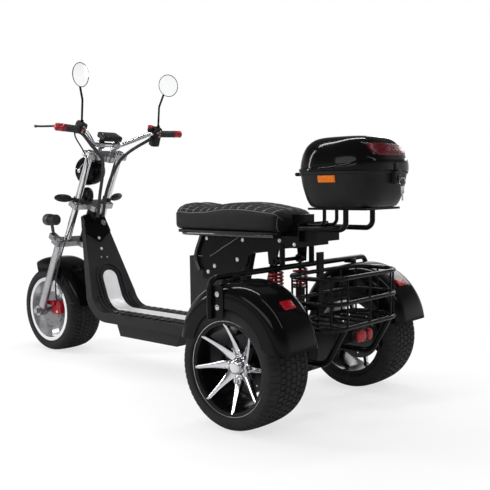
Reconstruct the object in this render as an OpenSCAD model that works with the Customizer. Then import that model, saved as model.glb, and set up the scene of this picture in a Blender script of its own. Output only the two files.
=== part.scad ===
// Three-wheeled electric scooter with fat tyres, raked fork, low deck, bench seat, cargo box and wire basket.
// Millimetres. X forward, Y left, Z up, floor at zero, origin under the middle of the whole vehicle.

/* [Wheels] */
// distance between the axles
wheelbase = 1640; // [1500:5:1800]
// distance between the rear wheel mid planes
track = 746; // [720:2:800]
// outer radius of all three tyres
tyre_r = 223; // [215:1:226]
// width of a rear tyre
rear_tyre_w = 206; // [190:1:210]
// width of the front tyre
front_tyre_w = 196; // [180:1:200]
// radius of the tyre shoulder
shoulder_r = 26; // [15:1:35]
// bead seat radius of the rims
bead_r = 158; // [150:1:160]
// outer radius of the rim lips
lip_r = 168; // [163:1:175]
// width of one rim lip
lip_w = 7; // [4:0.5:10]
// overall width of a rim
rim_w = 184; // [160:1:188]
// thickness of the rim barrel
barrel_t = 8; // [5:0.5:12]
// radius of the wheel hubs
hub_r = 40; // [36:1:45]
// bore of the wheel hubs
hub_bore = 32; // [24:1:40]
// radius of the bright hub caps
cap_r = 25; // [18:1:30]
// pitch circle of the wheel nuts
nut_circle = 101.6; // [90:0.1:110]
// depth of the rear hub face behind the rim lip
rear_recess = 60; // [50:1:66]
// thickness of the rear spokes
spoke_t = 20; // [12:1:26]
// half width of a rear spoke at the hub
spoke_root = 16; // [10:0.5:18]
// half width of a rear spoke at the rim
spoke_tip = 6.5; // [5:0.5:9]
// sweep of a rear spoke from hub to rim
spoke_swirl = 6; // [0:1:20]
// half width of a front spoke at the hub
front_spoke_root = 19; // [12:0.5:22]
// half width of a front spoke at the rim
front_spoke_tip = 30; // [20:1:40]
// radius of the rear brake discs
rear_disc_r = 107; // [95:1:120]
// radius of the front brake disc
front_disc_r = 92; // [80:1:105]
// thickness of the brake discs
disc_t = 5; // [4:0.5:7]

/* [Fork] */
// lean of the fork from upright
rake = 26.5; // [22:0.5:30]
// steering axis behind the fork tubes
fork_lead = 30; // [24:1:36]
// half distance of the upper fork tubes
tube_y = 90; // [86:1:96]
// diameter of the upper fork tubes
tube_d = 34; // [30:1:38]
// half distance of the lower fork legs
leg_y = 132; // [130:1:138]
// diameter of the lower fork legs
leg_d = 40; // [36:1:44]
// fork station of the lower yoke, measured up from the axle
low_yoke_s = 408; // [395:1:420]
// fork station of the middle yoke
mid_yoke_s = 617; // [600:1:640]
// fork station of the top yoke
top_yoke_s = 888; // [860:1:910]
// thickness of the yokes
yoke_t = 28; // [22:1:34]
// diameter of the head tube
head_d = 62; // [54:1:66]
// diameter of the steering stem
stem_d = 30; // [25:1:34]
// diameter of the front axle
axle_d = 20; // [16:1:24]

/* [Handlebar] */
// diameter of the handlebar
bar_d = 22; // [20:0.5:25]
// half width of the handlebar
bar_half = 378; // [360:1:395]
// grip ends behind the fork plane
bar_pull = 82; // [70:1:95]
// grip ends above the handlebar clamp
bar_lift = 110; // [95:1:125]
// handlebar clamp above the top yoke
riser_h = 57; // [50:1:65]
// diameter of the grips
grip_d = 34; // [30:1:38]
// length of the grips
grip_len = 128; // [110:1:140]
// radius of the round mirrors
mirror_r = 55; // [45:1:65]
// radius of the headlamp bowl
lamp_r = 71; // [60:1:80]
// radius of the horn
horn_r = 37; // [30:1:42]
// radius of the turn signals
signal_r = 21; // [16:1:24]
// radius of the spot lamps
spot_r = 30; // [24:1:34]

/* [Neck and deck] */
// height of the deck top
deck_z = 262; // [250:1:270]
// half width of the deck
deck_half = 135; // [125:1:140]
// thickness of the deck sheet
deck_t = 10; // [6:1:14]
// depth of the deck and neck skirts
skirt_h = 46; // [36:1:50]
// wall of the skirts
skirt_t = 9; // [6:1:12]
// rear end of the deck, ahead of the rear axle
deck_rear = 330; // [315:1:345]
// front end of the flat deck, behind the front axle
neck_back = 543; // [535:1:555]
// radius of the bend from deck to neck
bend_r = 110; // [90:1:125]
// lean of the neck from upright
neck_lean = 21; // [19:0.5:23]
// neck top short of the steering axis
neck_short = 9; // [5:1:14]
// half width of the neck top
neck_top_half = 61; // [56:1:64]
// width of the bright tread strip
strip_w = 84; // [60:1:100]
// thickness of the tread strip
strip_t = 3; // [2:0.5:5]
// height of the moulded ribs
rib_h = 5; // [3:0.5:8]
// width of a moulded rib
rib_w = 9; // [6:0.5:12]
// spacing of the moulded ribs
rib_pitch = 20; // [16:1:24]

/* [Seat] */
// height of the seat pan top
pan_z = 675; // [665:1:690]
// thickness of the seat pan
pan_t = 12; // [8:1:16]
// length of the seat
seat_len = 595; // [580:1:610]
// width of the seat
seat_w = 268; // [240:1:290]
// height of the seat padding
seat_h = 114; // [90:1:130]
// rear end of the seat, ahead of the rear axle
seat_rear = 55; // [50:1:65]
// half width of the seat box
seat_box_half = 96; // [92:1:100]
// plate thickness of the seat box
plate_t = 4; // [3:0.5:6]
// front of the battery case, ahead of the rear axle
battery_front = 560; // [550:1:572]
// height of the battery case
battery_h = 300; // [280:1:320]

/* [Cargo box] */
// length of the cargo box
box_len = 344; // [320:1:360]
// width of the cargo box
box_w = 356; // [330:1:370]
// height of the tub
tub_h = 130; // [115:1:140]
// height of the lid
lid_h = 126; // [110:1:140]
// wall of tub and lid
box_wall = 4; // [3:0.5:6]
// middle of the cargo box behind the rear axle
box_back = 216; // [205:1:225]
// underside of the cargo box
box_z = 773; // [765:1:785]

/* [Rear] */
// rear fender sheet outside the tyre radius
fender_gap = 29; // [26:1:36]
// lift of the fender middle over the axle
fender_lift = 50; // [45:1:56]
// fender middle behind the axle
fender_back = 15; // [10:1:18]
// width of a rear fender
fender_w = 224; // [218:1:230]
// sheet of the fenders
fender_t = 4; // [3:0.5:6]
// rounding of the rear fender shoulders
fender_round = 46; // [30:1:50]
// depth of the rear fender skirts below the crown
fender_skirt = 88; // [80:1:94]
// front fender crown outside the tyre radius
front_fender_gap = 53; // [48:1:58]
// diameter of the fender hoop
hoop_d = 22; // [18:1:26]
// station of the fender hoop ahead of the rear axle
hoop_x = 48; // [40:1:56]
// half width of the basket
basket_half = 235; // [225:1:242]
// rear side of the basket behind the axle
basket_back = 285; // [275:1:300]
// front side of the basket behind the axle
basket_front = 62; // [56:1:75]
// basket bottom height
basket_low = 350; // [345:1:360]
// basket height
basket_h = 178; // [160:1:190]
// diameter of the basket rails
rail_d = 16; // [12:1:18]
// diameter of the basket wires
wire_d = 8; // [6:0.5:10]
// radius of the motor housing
motor_r = 92; // [80:1:100]
// diameter of the axle tubes
axle_tube_d = 60; // [50:1:66]
// radius of the shock springs
spring_r = 27; // [22:1:30]
// wire of the shock springs
spring_wire = 9; // [7:0.5:10]

/* [Hidden] */
$fn = 48;
// overrun of every cut
eps = 2;
// gap left between seated pieces
seat_gap = 0.3;
sides = [1, -1];
// thickness of the lock behind the cargo box
lock_t = 16;
// the whole length runs from the front tyre to that lock
mid_x = (wheelbase + tyre_r - box_back - box_len / 2 - lock_t) / 2;
wheel_y = track / 2;
half_rim = rim_w / 2;
barrel_in = bead_r - barrel_t;
spoke_out = bead_r - barrel_t / 2;
pan_low = pan_z - pan_t;
deck_front = wheelbase - neck_back;
fender_r = tyre_r + fender_gap;
fender_z = tyre_r + fender_lift;
front_fender_r = tyre_r + front_fender_gap;
tub_top = box_z + tub_h;
box_x = -box_back;
// start of the tread strip and of the moulded ribs, ahead of the battery case
rib_start = battery_front + rib_w;

// unit vector
function unit(v) = v / norm(v);
function cross2(a, b) = a[0] * b[1] - a[1] * b[0];
// arc points rounding the corner b
function arc_pts(a, b, c, r, n) = let(d1 = unit(b - a), d2 = unit(c - b), th = acos(d1 * d2),
  n1 = unit(d2 - (d1 * d2) * d1), o = b - d1 * r * tan(th / 2) + r * n1)
  [for (i = [0:n]) o + r * (d1 * sin(th * i / n) - n1 * cos(th * i / n))];
// polyline with rounded corners
function bent(p, r, n = 4) = concat([p[0]],
  [for (i = [1:len(p) - 2]) each arc_pts(p[i - 1], p[i], p[i + 1], r, n)], [p[len(p) - 1]]);
// smooth curve through route points
function spline(p, n) = let(m = len(p) - 1) concat([for (i = [0:m - 1], k = [0:n - 1])
  let(t = k / n, a = p[max(i - 1, 0)], b = p[i], c = p[i + 1], d = p[min(i + 2, m)])
  ((2 * b) + (c - a) * t + (2 * a - 5 * b + 4 * c - d) * t * t
    + (3 * b - a - 3 * c + d) * t * t * t) / 2], [p[m]]);
function tangent(q, i) = let(m = len(q) - 1)
  i == 0 ? unit(q[1] - q[0]) : i == m ? unit(q[m] - q[m - 1])
  : unit(unit(q[i] - q[i - 1]) + unit(q[i + 1] - q[i]));
function mirrored(p) = [for (v = p) [v[0], -v[1], v[2]]];
function reversed(p) = [for (i = [len(p) - 1:-1:0]) p[i]];
// outline points given as shares of two sizes
function scaled(shares, a, b) = [for (p = shares) [p[0] * a, p[1] * b]];
// point of an oval of power e at an angle, and the whole oval
function oval_pt(a, b, e, w) = let(c = cos(w), s = sin(w))
  [sign(c) * a * pow(abs(c), 2 / e), sign(s) * b * pow(abs(s), 2 / e)];
function oval(a, b, e, n) = [for (k = [0:n - 1]) oval_pt(a, b, e, 360 * k / n)];

// skin through rings of equal point count, both ends closed
module skin(rings) {
  n = len(rings);
  s = len(rings[0]);
  pts = [for (r = rings) each r];
  faces = concat([[for (k = [0:s - 1]) k]], [[for (k = [s - 1:-1:0]) (n - 1) * s + k]],
    [for (i = [0:n - 2], k = [0:s - 1]) [i * s + k, (i + 1) * s + k, (i + 1) * s + (k + 1) % s]],
    [for (i = [0:n - 2], k = [0:s - 1]) [i * s + k, (i + 1) * s + (k + 1) % s, i * s + (k + 1) % s]]);
  polyhedron(pts, faces, convexity = 6);
}
// round bar along a route
module sweep(q, d, n, ref) skin([for (i = [0:len(q) - 1])
  let(t = tangent(q, i), u = unit(cross(ref, t)), v = cross(t, u))
  [for (k = [0:n - 1]) q[i] + d / 2 * (cos(360 * k / n) * u + sin(360 * k / n) * v)]]);
// frame with its z axis running from p to q
module along(p, q) {
  w = unit(q - p);
  u = unit(cross(abs(w[2]) < 0.9 ? [0, 0, 1] : [1, 0, 0], w));
  v = cross(w, u);
  multmatrix([[u[0], v[0], w[0], p[0]], [u[1], v[1], w[1], p[1]], [u[2], v[2], w[2], p[2]], [0, 0, 0, 1]])
    children();
}
module rod(p, q, d) along(p, q) cylinder(h = norm(q - p), d = d);
module both() {
  children();
  mirror([0, 1, 0]) children();
}
module placed() translate([-mid_x, 0, 0]) children();
// axle frames: local z points to the left, or outwards on a rear wheel
module front_wheel() placed() translate([wheelbase, 0, tyre_r]) rotate([-90, 0, 0]) children();
module rear_wheel(s) placed() translate([0, s * wheel_y, tyre_r]) rotate([s > 0 ? -90 : 90, 0, 0]) children();
// fork frame: origin at the axle, z up along the fork, x forward across it
module fork() placed() translate([wheelbase, 0, tyre_r]) rotate([0, -rake, 0]) children();
// fork frame turned so that z looks straight ahead
module ahead(x, y, s) fork() translate([x, y, s]) rotate([0, 90 + rake, 0]) children();
// plate in the plane of the fork, outline in x and up the fork, centred on y
module fork_plate(y, t) fork() translate([0, y + t / 2, 0]) rotate([90, 0, 0])
  linear_extrude(height = t) children();

// bend from the flat deck to the neck, and the neck frame: x up the neck, z towards the rider
bend_deg = 90 - neck_lean;
neck_x = deck_front + bend_r * sin(bend_deg);
neck_z = deck_z + bend_r * (1 - cos(bend_deg));
module neck_frame() placed() translate([neck_x, 0, neck_z]) rotate([0, -bend_deg, 0]) children();
function neck_pt(s, off) = [neck_x + s * cos(bend_deg) - off * sin(bend_deg),
  neck_z + s * sin(bend_deg) + off * cos(bend_deg)];
// way up the neck to the steering axis, at an offset towards the rider
function axis_hit(off) = let(w = [-sin(rake), cos(rake)], t = [cos(bend_deg), sin(bend_deg)],
  a = [wheelbase - fork_lead * cos(rake), tyre_r - fork_lead * sin(rake)])
  cross2(a - neck_pt(0, off), w) / cross2(t, w);
neck_len = axis_hit(0) - neck_short;
// line of the floor in x and z at an offset towards the rider
function floor_line(off, x0, s1, n = 9) = concat([[x0, deck_z + off]],
  [for (i = [0:n]) let(a = bend_deg * i / n, r = bend_r - off)
    [deck_front + r * sin(a), deck_z + bend_r - r * cos(a)]], [neck_pt(s1, off)]);
module floor_band(lo, hi, x0, s1, half) placed() translate([0, half, 0]) rotate([90, 0, 0])
  linear_extrude(height = 2 * half)
  polygon(concat(floor_line(lo, x0, s1), reversed(floor_line(hi, x0, s1))));
// running gap at the head tube ends
head_clear = 5;
module head_bore(d, extra) fork() translate([-fork_lead, 0, low_yoke_s + yoke_t / 2 + head_clear - extra])
  cylinder(h = mid_yoke_s - low_yoke_s - yoke_t - 2 * head_clear + 2 * extra, d = d);

// wheels
spoke_shares = [0, 0.2, 0.4, 0.6, 0.8, 1];
swirl_power = 0.85;
rear_spoke_n = 8;
front_spoke_n = 5;
nut_n = 4;
boss_r = 15;
hub_back = 4;
cap_out = 28;
rear_disc_y = -18;
front_disc_y = 66;
disc_bore = 36;
disc_hole_n = 12;
disc_hole_d = 8;
disc_hole_share = 0.8;
spindle_d = hub_bore - 2 * seat_gap;
spindle_short = 4;
face_z = half_rim - rear_recess;
module tyre(w) rotate_extrude($fn = 96) union() {
  translate([bead_r + seat_gap, -half_rim + lip_w + seat_gap])
    square([lip_r - bead_r, rim_w - 2 * lip_w - 2 * seat_gap]);
  translate([lip_r + seat_gap, -w / 2]) square([tyre_r - shoulder_r - lip_r - seat_gap, w]);
  translate([lip_r + seat_gap, -w / 2 + shoulder_r]) square([tyre_r - lip_r - seat_gap, w - 2 * shoulder_r]);
  for (s = sides) translate([tyre_r - shoulder_r, s * (w / 2 - shoulder_r)]) circle(r = shoulder_r);
}
module barrel() rotate_extrude($fn = 96) union() {
  translate([barrel_in, -half_rim]) square([barrel_t, rim_w]);
  for (s = [0, 1]) translate([barrel_in, s ? half_rim - lip_w : -half_rim])
    square([lip_r - barrel_in, lip_w]);
}
// outline of one spoke, swept by the swirl angle
function spoke_pt(f, side, root, tip, swirl) = let(r = hub_r / 2 + f * (spoke_out - hub_r / 2),
  h = root + (tip - root) * f, a = swirl * pow(f, swirl_power))
  [r * cos(a) - side * h * sin(a), r * sin(a) + side * h * cos(a)];
module spokes_2d(n, root, tip, swirl) for (i = [0:n - 1]) rotate(i * 360 / n)
  polygon(concat([for (f = spoke_shares) spoke_pt(f, 1, root, tip, swirl)],
    reversed([for (f = spoke_shares) spoke_pt(f, -1, root, tip, swirl)])));
module rear_rim() difference() {
  union() {
    barrel();
    intersection() {
      rotate_extrude($fn = 96) polygon([[0, face_z - spoke_t], [spoke_out, half_rim - lip_w - spoke_t],
        [spoke_out, half_rim - lip_w], [hub_r, face_z], [0, face_z]]);
      linear_extrude(height = half_rim) spokes_2d(rear_spoke_n, spoke_root, spoke_tip, spoke_swirl);
    }
    translate([0, 0, hub_back]) cylinder(h = face_z - hub_back, r = hub_r);
    for (i = [0:nut_n - 1]) rotate(i * 360 / nut_n) translate([nut_circle / 2, 0, hub_back])
      cylinder(h = face_z - hub_back, r = boss_r);
    translate([0, 0, hub_back]) cylinder(h = face_z - hub_back + cap_out, r = cap_r);
  }
  translate([0, 0, -eps]) cylinder(h = face_z - spoke_t / 2 + eps, d = hub_bore);
}
module front_rim_body() difference() {
  union() {
    barrel();
    intersection() {
      translate([0, 0, -spoke_t]) cylinder(h = 2 * spoke_t, r = spoke_out);
      translate([0, 0, -spoke_t]) linear_extrude(height = 2 * spoke_t)
        spokes_2d(front_spoke_n, front_spoke_root, front_spoke_tip, 0);
    }
    translate([0, 0, -front_disc_y + seat_gap]) cylinder(h = 2 * front_disc_y - 2 * seat_gap, r = hub_r);
  }
  translate([0, 0, -front_disc_y]) cylinder(h = 2 * front_disc_y, d = axle_d + 2 * seat_gap);
}
module disc(r, bore) difference() {
  cylinder(h = disc_t, r = r, $fn = 96);
  translate([0, 0, -eps]) cylinder(h = disc_t + 2 * eps, d = bore);
  for (i = [0:disc_hole_n - 1]) rotate(i * 360 / disc_hole_n) translate([r * disc_hole_share, 0, -eps])
    cylinder(h = disc_t + 2 * eps, d = disc_hole_d, $fn = 24);
}
module rear_disc() difference() {
  union() {
    translate([0, 0, rear_disc_y]) disc(rear_disc_r, hub_bore);
    translate([0, 0, rear_disc_y]) cylinder(h = hub_back - rear_disc_y - seat_gap, r = hub_r);
  }
  translate([0, 0, rear_disc_y - eps]) cylinder(h = hub_back - rear_disc_y + 2 * eps, d = hub_bore);
}
module front_tyre() color([0.05, 0.05, 0.05]) front_wheel() tyre(front_tyre_w);
module front_rim() color([0.8, 0.81, 0.83]) front_wheel() front_rim_body();
module front_disc() color([0.55, 0.55, 0.57]) front_wheel() translate([0, 0, front_disc_y])
  disc(front_disc_r, disc_bore);
module tyre_left() color([0.05, 0.05, 0.05]) rear_wheel(1) tyre(rear_tyre_w);
module tyre_right() color([0.05, 0.05, 0.05]) rear_wheel(-1) tyre(rear_tyre_w);
module rim_left() color([0.6, 0.6, 0.62]) rear_wheel(1) rear_rim();
module rim_right() color([0.6, 0.6, 0.62]) rear_wheel(-1) rear_rim();
module disc_left() color([0.55, 0.55, 0.57]) rear_wheel(1) rear_disc();
module disc_right() color([0.55, 0.55, 0.57]) rear_wheel(-1) rear_disc();

// frame tubes, swing arm and rear axle
rail_tube_d = 36;
rail_y = 74;
rail_z = deck_z - deck_t - seat_gap - rail_tube_d / 2;
spine_t = 36;
spine_tail = 60;
spine_half = 22;
spine_off = -deck_t - seat_gap;
spine_run = axis_hit(spine_off - spine_t / 2);
cross_d = 30;
underbox_len = 440;
underbox_w = 224;
underbox_h = 58;
underbox_slope = 26;
underbox_x = 604;
cross_in = 18;
cross_x = [deck_front - cross_in, underbox_x, deck_rear];
stay_d = 28;
stay_back = 24;
stay_x = 214;
stay_drop = 63;
stay_half = seat_box_half - plate_t - seat_gap;
pivot_x = 286;
pivot_half = 118;
arm_y = 112;
arm_d = 40;
lug_t = 10;
lug_w = 30;
shock_x = 94;
shock_y = 78;
shock_lift = 45;
shock_low = tyre_r + shock_lift;
shock_drop = 100;
shock_high = pan_low - shock_drop;
motor_half = 80;
motor_bell_share = 0.72;
motor_shares = [[0, -1], [motor_bell_share, -1], [1, -motor_bell_share], [1, motor_bell_share],
  [motor_bell_share, 1], [0, 1]];
tube_short = 10;
tube_half = wheel_y + rear_disc_y - tube_short;
spindle_half = wheel_y + face_z - spoke_t / 2 - spindle_short;
damper_len = 180;
eye_d = 34;
damper_d = 38;
shock_rod_d = 14;
collar_t = 6;
collar_drop = 10;
collar_r = spring_r + spring_wire / 2;
collar_low = shock_high - eye_d / 2 - collar_t - collar_drop;
eye_w = 24;
shock_pin_d = 16;
spring_turns = 6;
spring_steps = 12;
module frame() color([0.08, 0.08, 0.09]) difference() {
  union() {
    head_bore(head_d, 0);
    floor_band(spine_off - spine_t, spine_off, deck_front - spine_tail, spine_run, spine_half);
    placed() both() rod([deck_front, rail_y, rail_z], [pivot_x - arm_d / 2, rail_y, rail_z], rail_tube_d);
    placed() for (x = cross_x) rod([x, -rail_y, rail_z], [x, rail_y, rail_z], cross_d);
    placed() both()
      rod([deck_rear - stay_back, rail_y, rail_z], [stay_x, rail_y, pan_low - stay_drop], stay_d);
    placed() rod([stay_x, -stay_half, pan_low - stay_drop], [stay_x, stay_half, pan_low - stay_drop], stay_d);
  }
  head_bore(stem_d + 2 * seat_gap, eps);
}
module swing_arm() color([0.1, 0.1, 0.11]) placed() {
  rod([pivot_x, -pivot_half, rail_z], [pivot_x, pivot_half, rail_z], arm_d);
  both() rod([pivot_x, arm_y, rail_z], [0, arm_y, tyre_r], arm_d);
  both() translate([shock_x - lug_w / 2, shock_y - lug_t / 2, tyre_r])
    cube([lug_w, arm_y - shock_y + lug_t / 2, shock_lift - seat_gap]);
}
module rear_axle() color([0.3, 0.3, 0.32]) placed() translate([0, 0, tyre_r]) rotate([-90, 0, 0]) {
  rotate_extrude($fn = 64) polygon(scaled(motor_shares, motor_r, motor_half));
  translate([0, 0, -tube_half]) cylinder(h = 2 * tube_half, d = axle_tube_d);
  translate([0, 0, -spindle_half]) cylinder(h = 2 * spindle_half, d = spindle_d);
}
module shocks() color([0.12, 0.12, 0.13]) placed() both() translate([shock_x, shock_y, 0]) difference() {
  union() {
    translate([0, 0, shock_low]) cylinder(h = damper_len, d = damper_d);
    translate([0, 0, shock_low]) cylinder(h = shock_high - shock_low, d = shock_rod_d);
    translate([0, 0, shock_low + damper_len - collar_t]) cylinder(h = collar_t, r = collar_r);
    translate([0, 0, collar_low]) cylinder(h = collar_t, r = collar_r);
    translate([0, eye_w / 2, shock_high]) rotate([90, 0, 0]) cylinder(h = eye_w, d = eye_d);
  }
  translate([0, eye_w, shock_high]) rotate([90, 0, 0])
    cylinder(h = 2 * eye_w, d = shock_pin_d + 2 * seat_gap);
}
module springs() color([0.75, 0.05, 0.05]) placed() both() translate([shock_x, shock_y, 0]) {
  z0 = shock_low + damper_len + spring_wire / 2 + seat_gap;
  z1 = collar_low - spring_wire / 2 - seat_gap;
  n = spring_turns * spring_steps;
  sweep([for (i = [0:n]) let(a = 360 * i / spring_steps)
    [spring_r * cos(a), spring_r * sin(a), z0 + (z1 - z0) * i / n]], spring_wire, 8, [0, 0, 1]);
}
module underdeck_box() color([0.07, 0.07, 0.08]) placed()
  translate([underbox_x, 0, rail_z - rail_tube_d / 2 - seat_gap]) rotate([90, 0, 0])
  linear_extrude(height = underbox_w, center = true) polygon([[0, 0], [underbox_len, 0],
    [underbox_len - underbox_slope, -underbox_h], [underbox_slope, -underbox_h]]);

// deck, neck and their trim
rib_off = 14;
strip_run = 81;
strip_steps = 6;
cap_from = 272;
cap_t = 6;
key_from = 368;
key_side = 36;
// depth of the neck skirts at their upper end
neck_skirt = 24;
key_r = 15;
key_t = 12;
key_rim = 3;
// cross section of the deck, y across and height towards the rider
module deck_2d(ribs) {
  translate([-deck_half, -deck_t]) square([2 * deck_half, deck_t]);
  for (s = [0, 1]) translate([s ? deck_half - skirt_t : -deck_half, -skirt_h]) square([skirt_t, skirt_h]);
  if (ribs) for (s = sides, k = [0:2])
    translate([s * (strip_w / 2 + rib_off + k * rib_pitch) - rib_w / 2, -deck_t / 2])
    square([rib_w, rib_h + deck_t / 2]);
}
module deck() color([0.09, 0.09, 0.1]) placed() {
  translate([deck_rear, 0, deck_z]) rotate([90, 0, 90]) linear_extrude(height = rib_start - deck_rear)
    deck_2d(false);
  translate([rib_start, 0, deck_z]) rotate([90, 0, 90]) linear_extrude(height = deck_front - rib_start)
    deck_2d(true);
  translate([deck_front, 0, deck_z + bend_r]) rotate([-90, 0, 0])
    rotate_extrude(angle = bend_deg, start = neck_lean, $fn = 96)
    translate([bend_r, 0]) rotate(90) deck_2d(true);
}
// slot outline running up the neck with a round end
module slot_2d(half) {
  translate([0, -half]) square([strip_run, 2 * half]);
  translate([strip_run, 0]) circle(r = half);
}
module neck_2d(inset, x0) polygon([[x0, -deck_half + inset], [neck_len - inset, -neck_top_half + inset],
  [neck_len - inset, neck_top_half - inset], [x0, deck_half - inset]]);
module neck() color([0.09, 0.09, 0.1]) difference() {
  union() {
    neck_frame() translate([0, 0, -skirt_h]) linear_extrude(height = skirt_h) neck_2d(0, seat_gap);
    neck_frame() for (k = [0:1]) translate([0, 0, -deck_t / 2]) linear_extrude(height = rib_h + deck_t / 2)
      intersection() {
        neck_2d(0, seat_gap);
        difference() {
          slot_2d(strip_w / 2 + rib_off + k * rib_pitch + rib_w / 2);
          slot_2d(strip_w / 2 + rib_off + k * rib_pitch - rib_w / 2);
        }
      }
  }
  neck_frame() translate([0, 0, -skirt_h - eps]) linear_extrude(height = skirt_h - deck_t + eps)
    neck_2d(skirt_t, -eps);
  neck_frame() rotate([90, 0, 0]) linear_extrude(height = 2 * deck_half + 2 * eps, center = true)
    polygon([[0, -skirt_h], [neck_len + eps, -neck_skirt], [neck_len + eps, -skirt_h - eps]]);
  head_bore(head_d + 2 * seat_gap, neck_len);
}
// the strip lies on deck, bend and neck and ends in a half round
strip_half = strip_w / 2;
function strip_line(off) = concat(floor_line(off, rib_start, strip_run),
  [for (i = [1:strip_steps]) neck_pt(strip_run + strip_half * sin(84 * i / strip_steps), off)]);
module tread_strip() color([0.75, 0.76, 0.78]) placed() {
  lo = strip_line(seat_gap);
  hi = strip_line(seat_gap + strip_t);
  n = len(lo);
  skin([for (i = [0:n - 1])
    let(k = max(0, i - n + 1 + strip_steps), h = strip_half * cos(84 * k / strip_steps))
    [[lo[i][0], -h, lo[i][1]], [lo[i][0], h, lo[i][1]], [hi[i][0], h, hi[i][1]], [hi[i][0], -h, hi[i][1]]]]);
}
module neck_cap() color([0.03, 0.03, 0.035]) difference() {
  neck_frame() translate([0, 0, seat_gap]) linear_extrude(height = cap_t) intersection() {
    neck_2d(0, 0);
    polygon([[cap_from, 0], [neck_len, -neck_len / 2], [neck_len, neck_len / 2]]);
  }
  head_bore(head_d + 2 * seat_gap, neck_len);
}
module key_switch() color([0.8, 0.8, 0.82]) neck_frame()
  translate([key_from, -key_side, cap_t + 2 * seat_gap])
  difference() {
    cylinder(h = key_t, r = key_r);
    translate([0, 0, key_t - key_rim]) cylinder(h = key_rim + eps, r = key_r - key_rim);
  }

// battery, seat box and seat
battery_len = 190;
groove_w = 10;
groove_d = 4;
groove_pitch = 26;
battery_half = seat_box_half - plate_t - seat_gap;
battery_top = deck_z + seat_gap + battery_h;
seat_box_back = 30;
seat_box_len = 506;
seat_box_depth = 193;
// outlines of the two side plates, the left one reaching down to the hoop
front_shares = [[1.11, -0.5], [1.069, -0.42], [1.02, -0.19], [1, 0], [0, 0], [0, -0.212], [0.2, -0.27],
  [0.208, -0.58], [0.287, -0.58], [0.296, -0.33]];
left_shares = concat(front_shares, [[0.415, -0.342], [0.494, -0.45], [0.506, -0.596], [0.652, -0.948],
  [1.004, -1], [1.004, -0.5]]);
right_shares = concat(front_shares, [[0.9, -0.345], [1.004, -0.5]]);
// block behind the seat and step behind the seat box
block_l = 62;
block_w = 60;
block_h = 85;
block_x = -14;
step_l = 66;
step_w = 150;
step_h = 38;
step_drop = 20;
rear_drop = 41;
rear_rise = 52;
post_d = 30;
post_inset = 30;
post_x = seat_box_len - seat_box_back - post_inset;
post_y = 56;
pan_inset = 10;
pan_share = 0.46;
// seat stations: share of the length, half width share, top share of the padding
seat_shares = [[0, 0.66, 0.5], [0.012, 0.78, 0.68], [0.045, 0.9, 0.8], [0.12, 0.97, 0.87], [0.22, 0.99, 0.95],
  [0.33, 1, 1], [0.43, 1, 1], [0.52, 0.99, 0.975], [0.61, 0.97, 0.92], [0.69, 0.96, 0.9], [0.77, 0.95, 0.925],
  [0.85, 0.92, 0.99], [0.91, 0.88, 1], [0.965, 0.79, 0.93], [1, 0.62, 0.55]];
seat_power = 3.6;
seat_sides = 28;
module battery_case() color([0.06, 0.06, 0.065]) placed() difference() {
  translate([battery_front - battery_len, -battery_half, deck_z + seat_gap])
    cube([battery_len, 2 * battery_half, battery_h]);
  for (k = [-2:2])
    translate([battery_front - groove_d, k * groove_pitch - groove_w / 2, deck_z + groove_pitch])
    cube([groove_d + eps, groove_w, battery_h - 2 * groove_pitch]);
}
module seat_box() color([0.05, 0.05, 0.055]) placed() {
  for (s = sides)
    translate([-seat_box_back, s > 0 ? seat_box_half : plate_t - seat_box_half, pan_low - seat_gap])
    rotate([90, 0, 0]) linear_extrude(height = plate_t)
    polygon(scaled(s > 0 ? left_shares : right_shares, seat_box_len, seat_box_depth));
  translate([-seat_box_back, -seat_box_half, pan_low - plate_t - seat_gap])
    cube([seat_box_len, 2 * seat_box_half, plate_t]);
  translate([-seat_box_back - plate_t, -seat_box_half, pan_low - rear_drop])
    cube([plate_t, 2 * seat_box_half, rear_drop + rear_rise]);
  both() translate([post_x, post_y, battery_top + seat_gap])
    cylinder(h = pan_low - battery_top - 2 * seat_gap, d = post_d);
  rod([shock_x, -shock_y - eye_w, shock_high], [shock_x, shock_y + eye_w, shock_high], shock_pin_d);
  translate([block_x, -block_w / 2, pan_low - plate_t - seat_gap]) cube([block_l, block_w, block_h]);
  translate([-seat_box_back - plate_t - step_l, -step_w / 2, pan_low - step_drop])
    cube([step_l + plate_t, step_w, step_h]);
}
module seat_pan() color([0.04, 0.04, 0.045]) placed() translate([seat_rear + pan_inset, 0, pan_low])
  linear_extrude(height = pan_t - seat_gap) polygon(concat(
    [for (r = seat_shares) [r[0] * (seat_len - 2 * pan_inset), -r[1] * seat_w * pan_share]],
    reversed([for (r = seat_shares) [r[0] * (seat_len - 2 * pan_inset), r[1] * seat_w * pan_share]])));
module seat_cushion() color([0.05, 0.05, 0.05]) placed() translate([seat_rear, 0, pan_z])
  skin([for (r = seat_shares) [for (p = oval(r[1] * seat_w / 2, r[2] * seat_h / 2, seat_power, seat_sides))
    [r[0] * seat_len, p[0], p[1] + r[2] * seat_h / 2]]]);

// rack and cargo box
// rack tubes: half distance, reach behind the seat box, height over the pan, diameter, bend radius
rack_y = [89, 40];
rack_reach = [206, 78];
rack_rise = [18, 29];
rack_d = [20, 14];
rack_bend = [30, 24];
rack_len = 250;
rack_w = 230;
rack_t = 8;
rack_from = -seat_box_back - plate_t - seat_gap;
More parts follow.
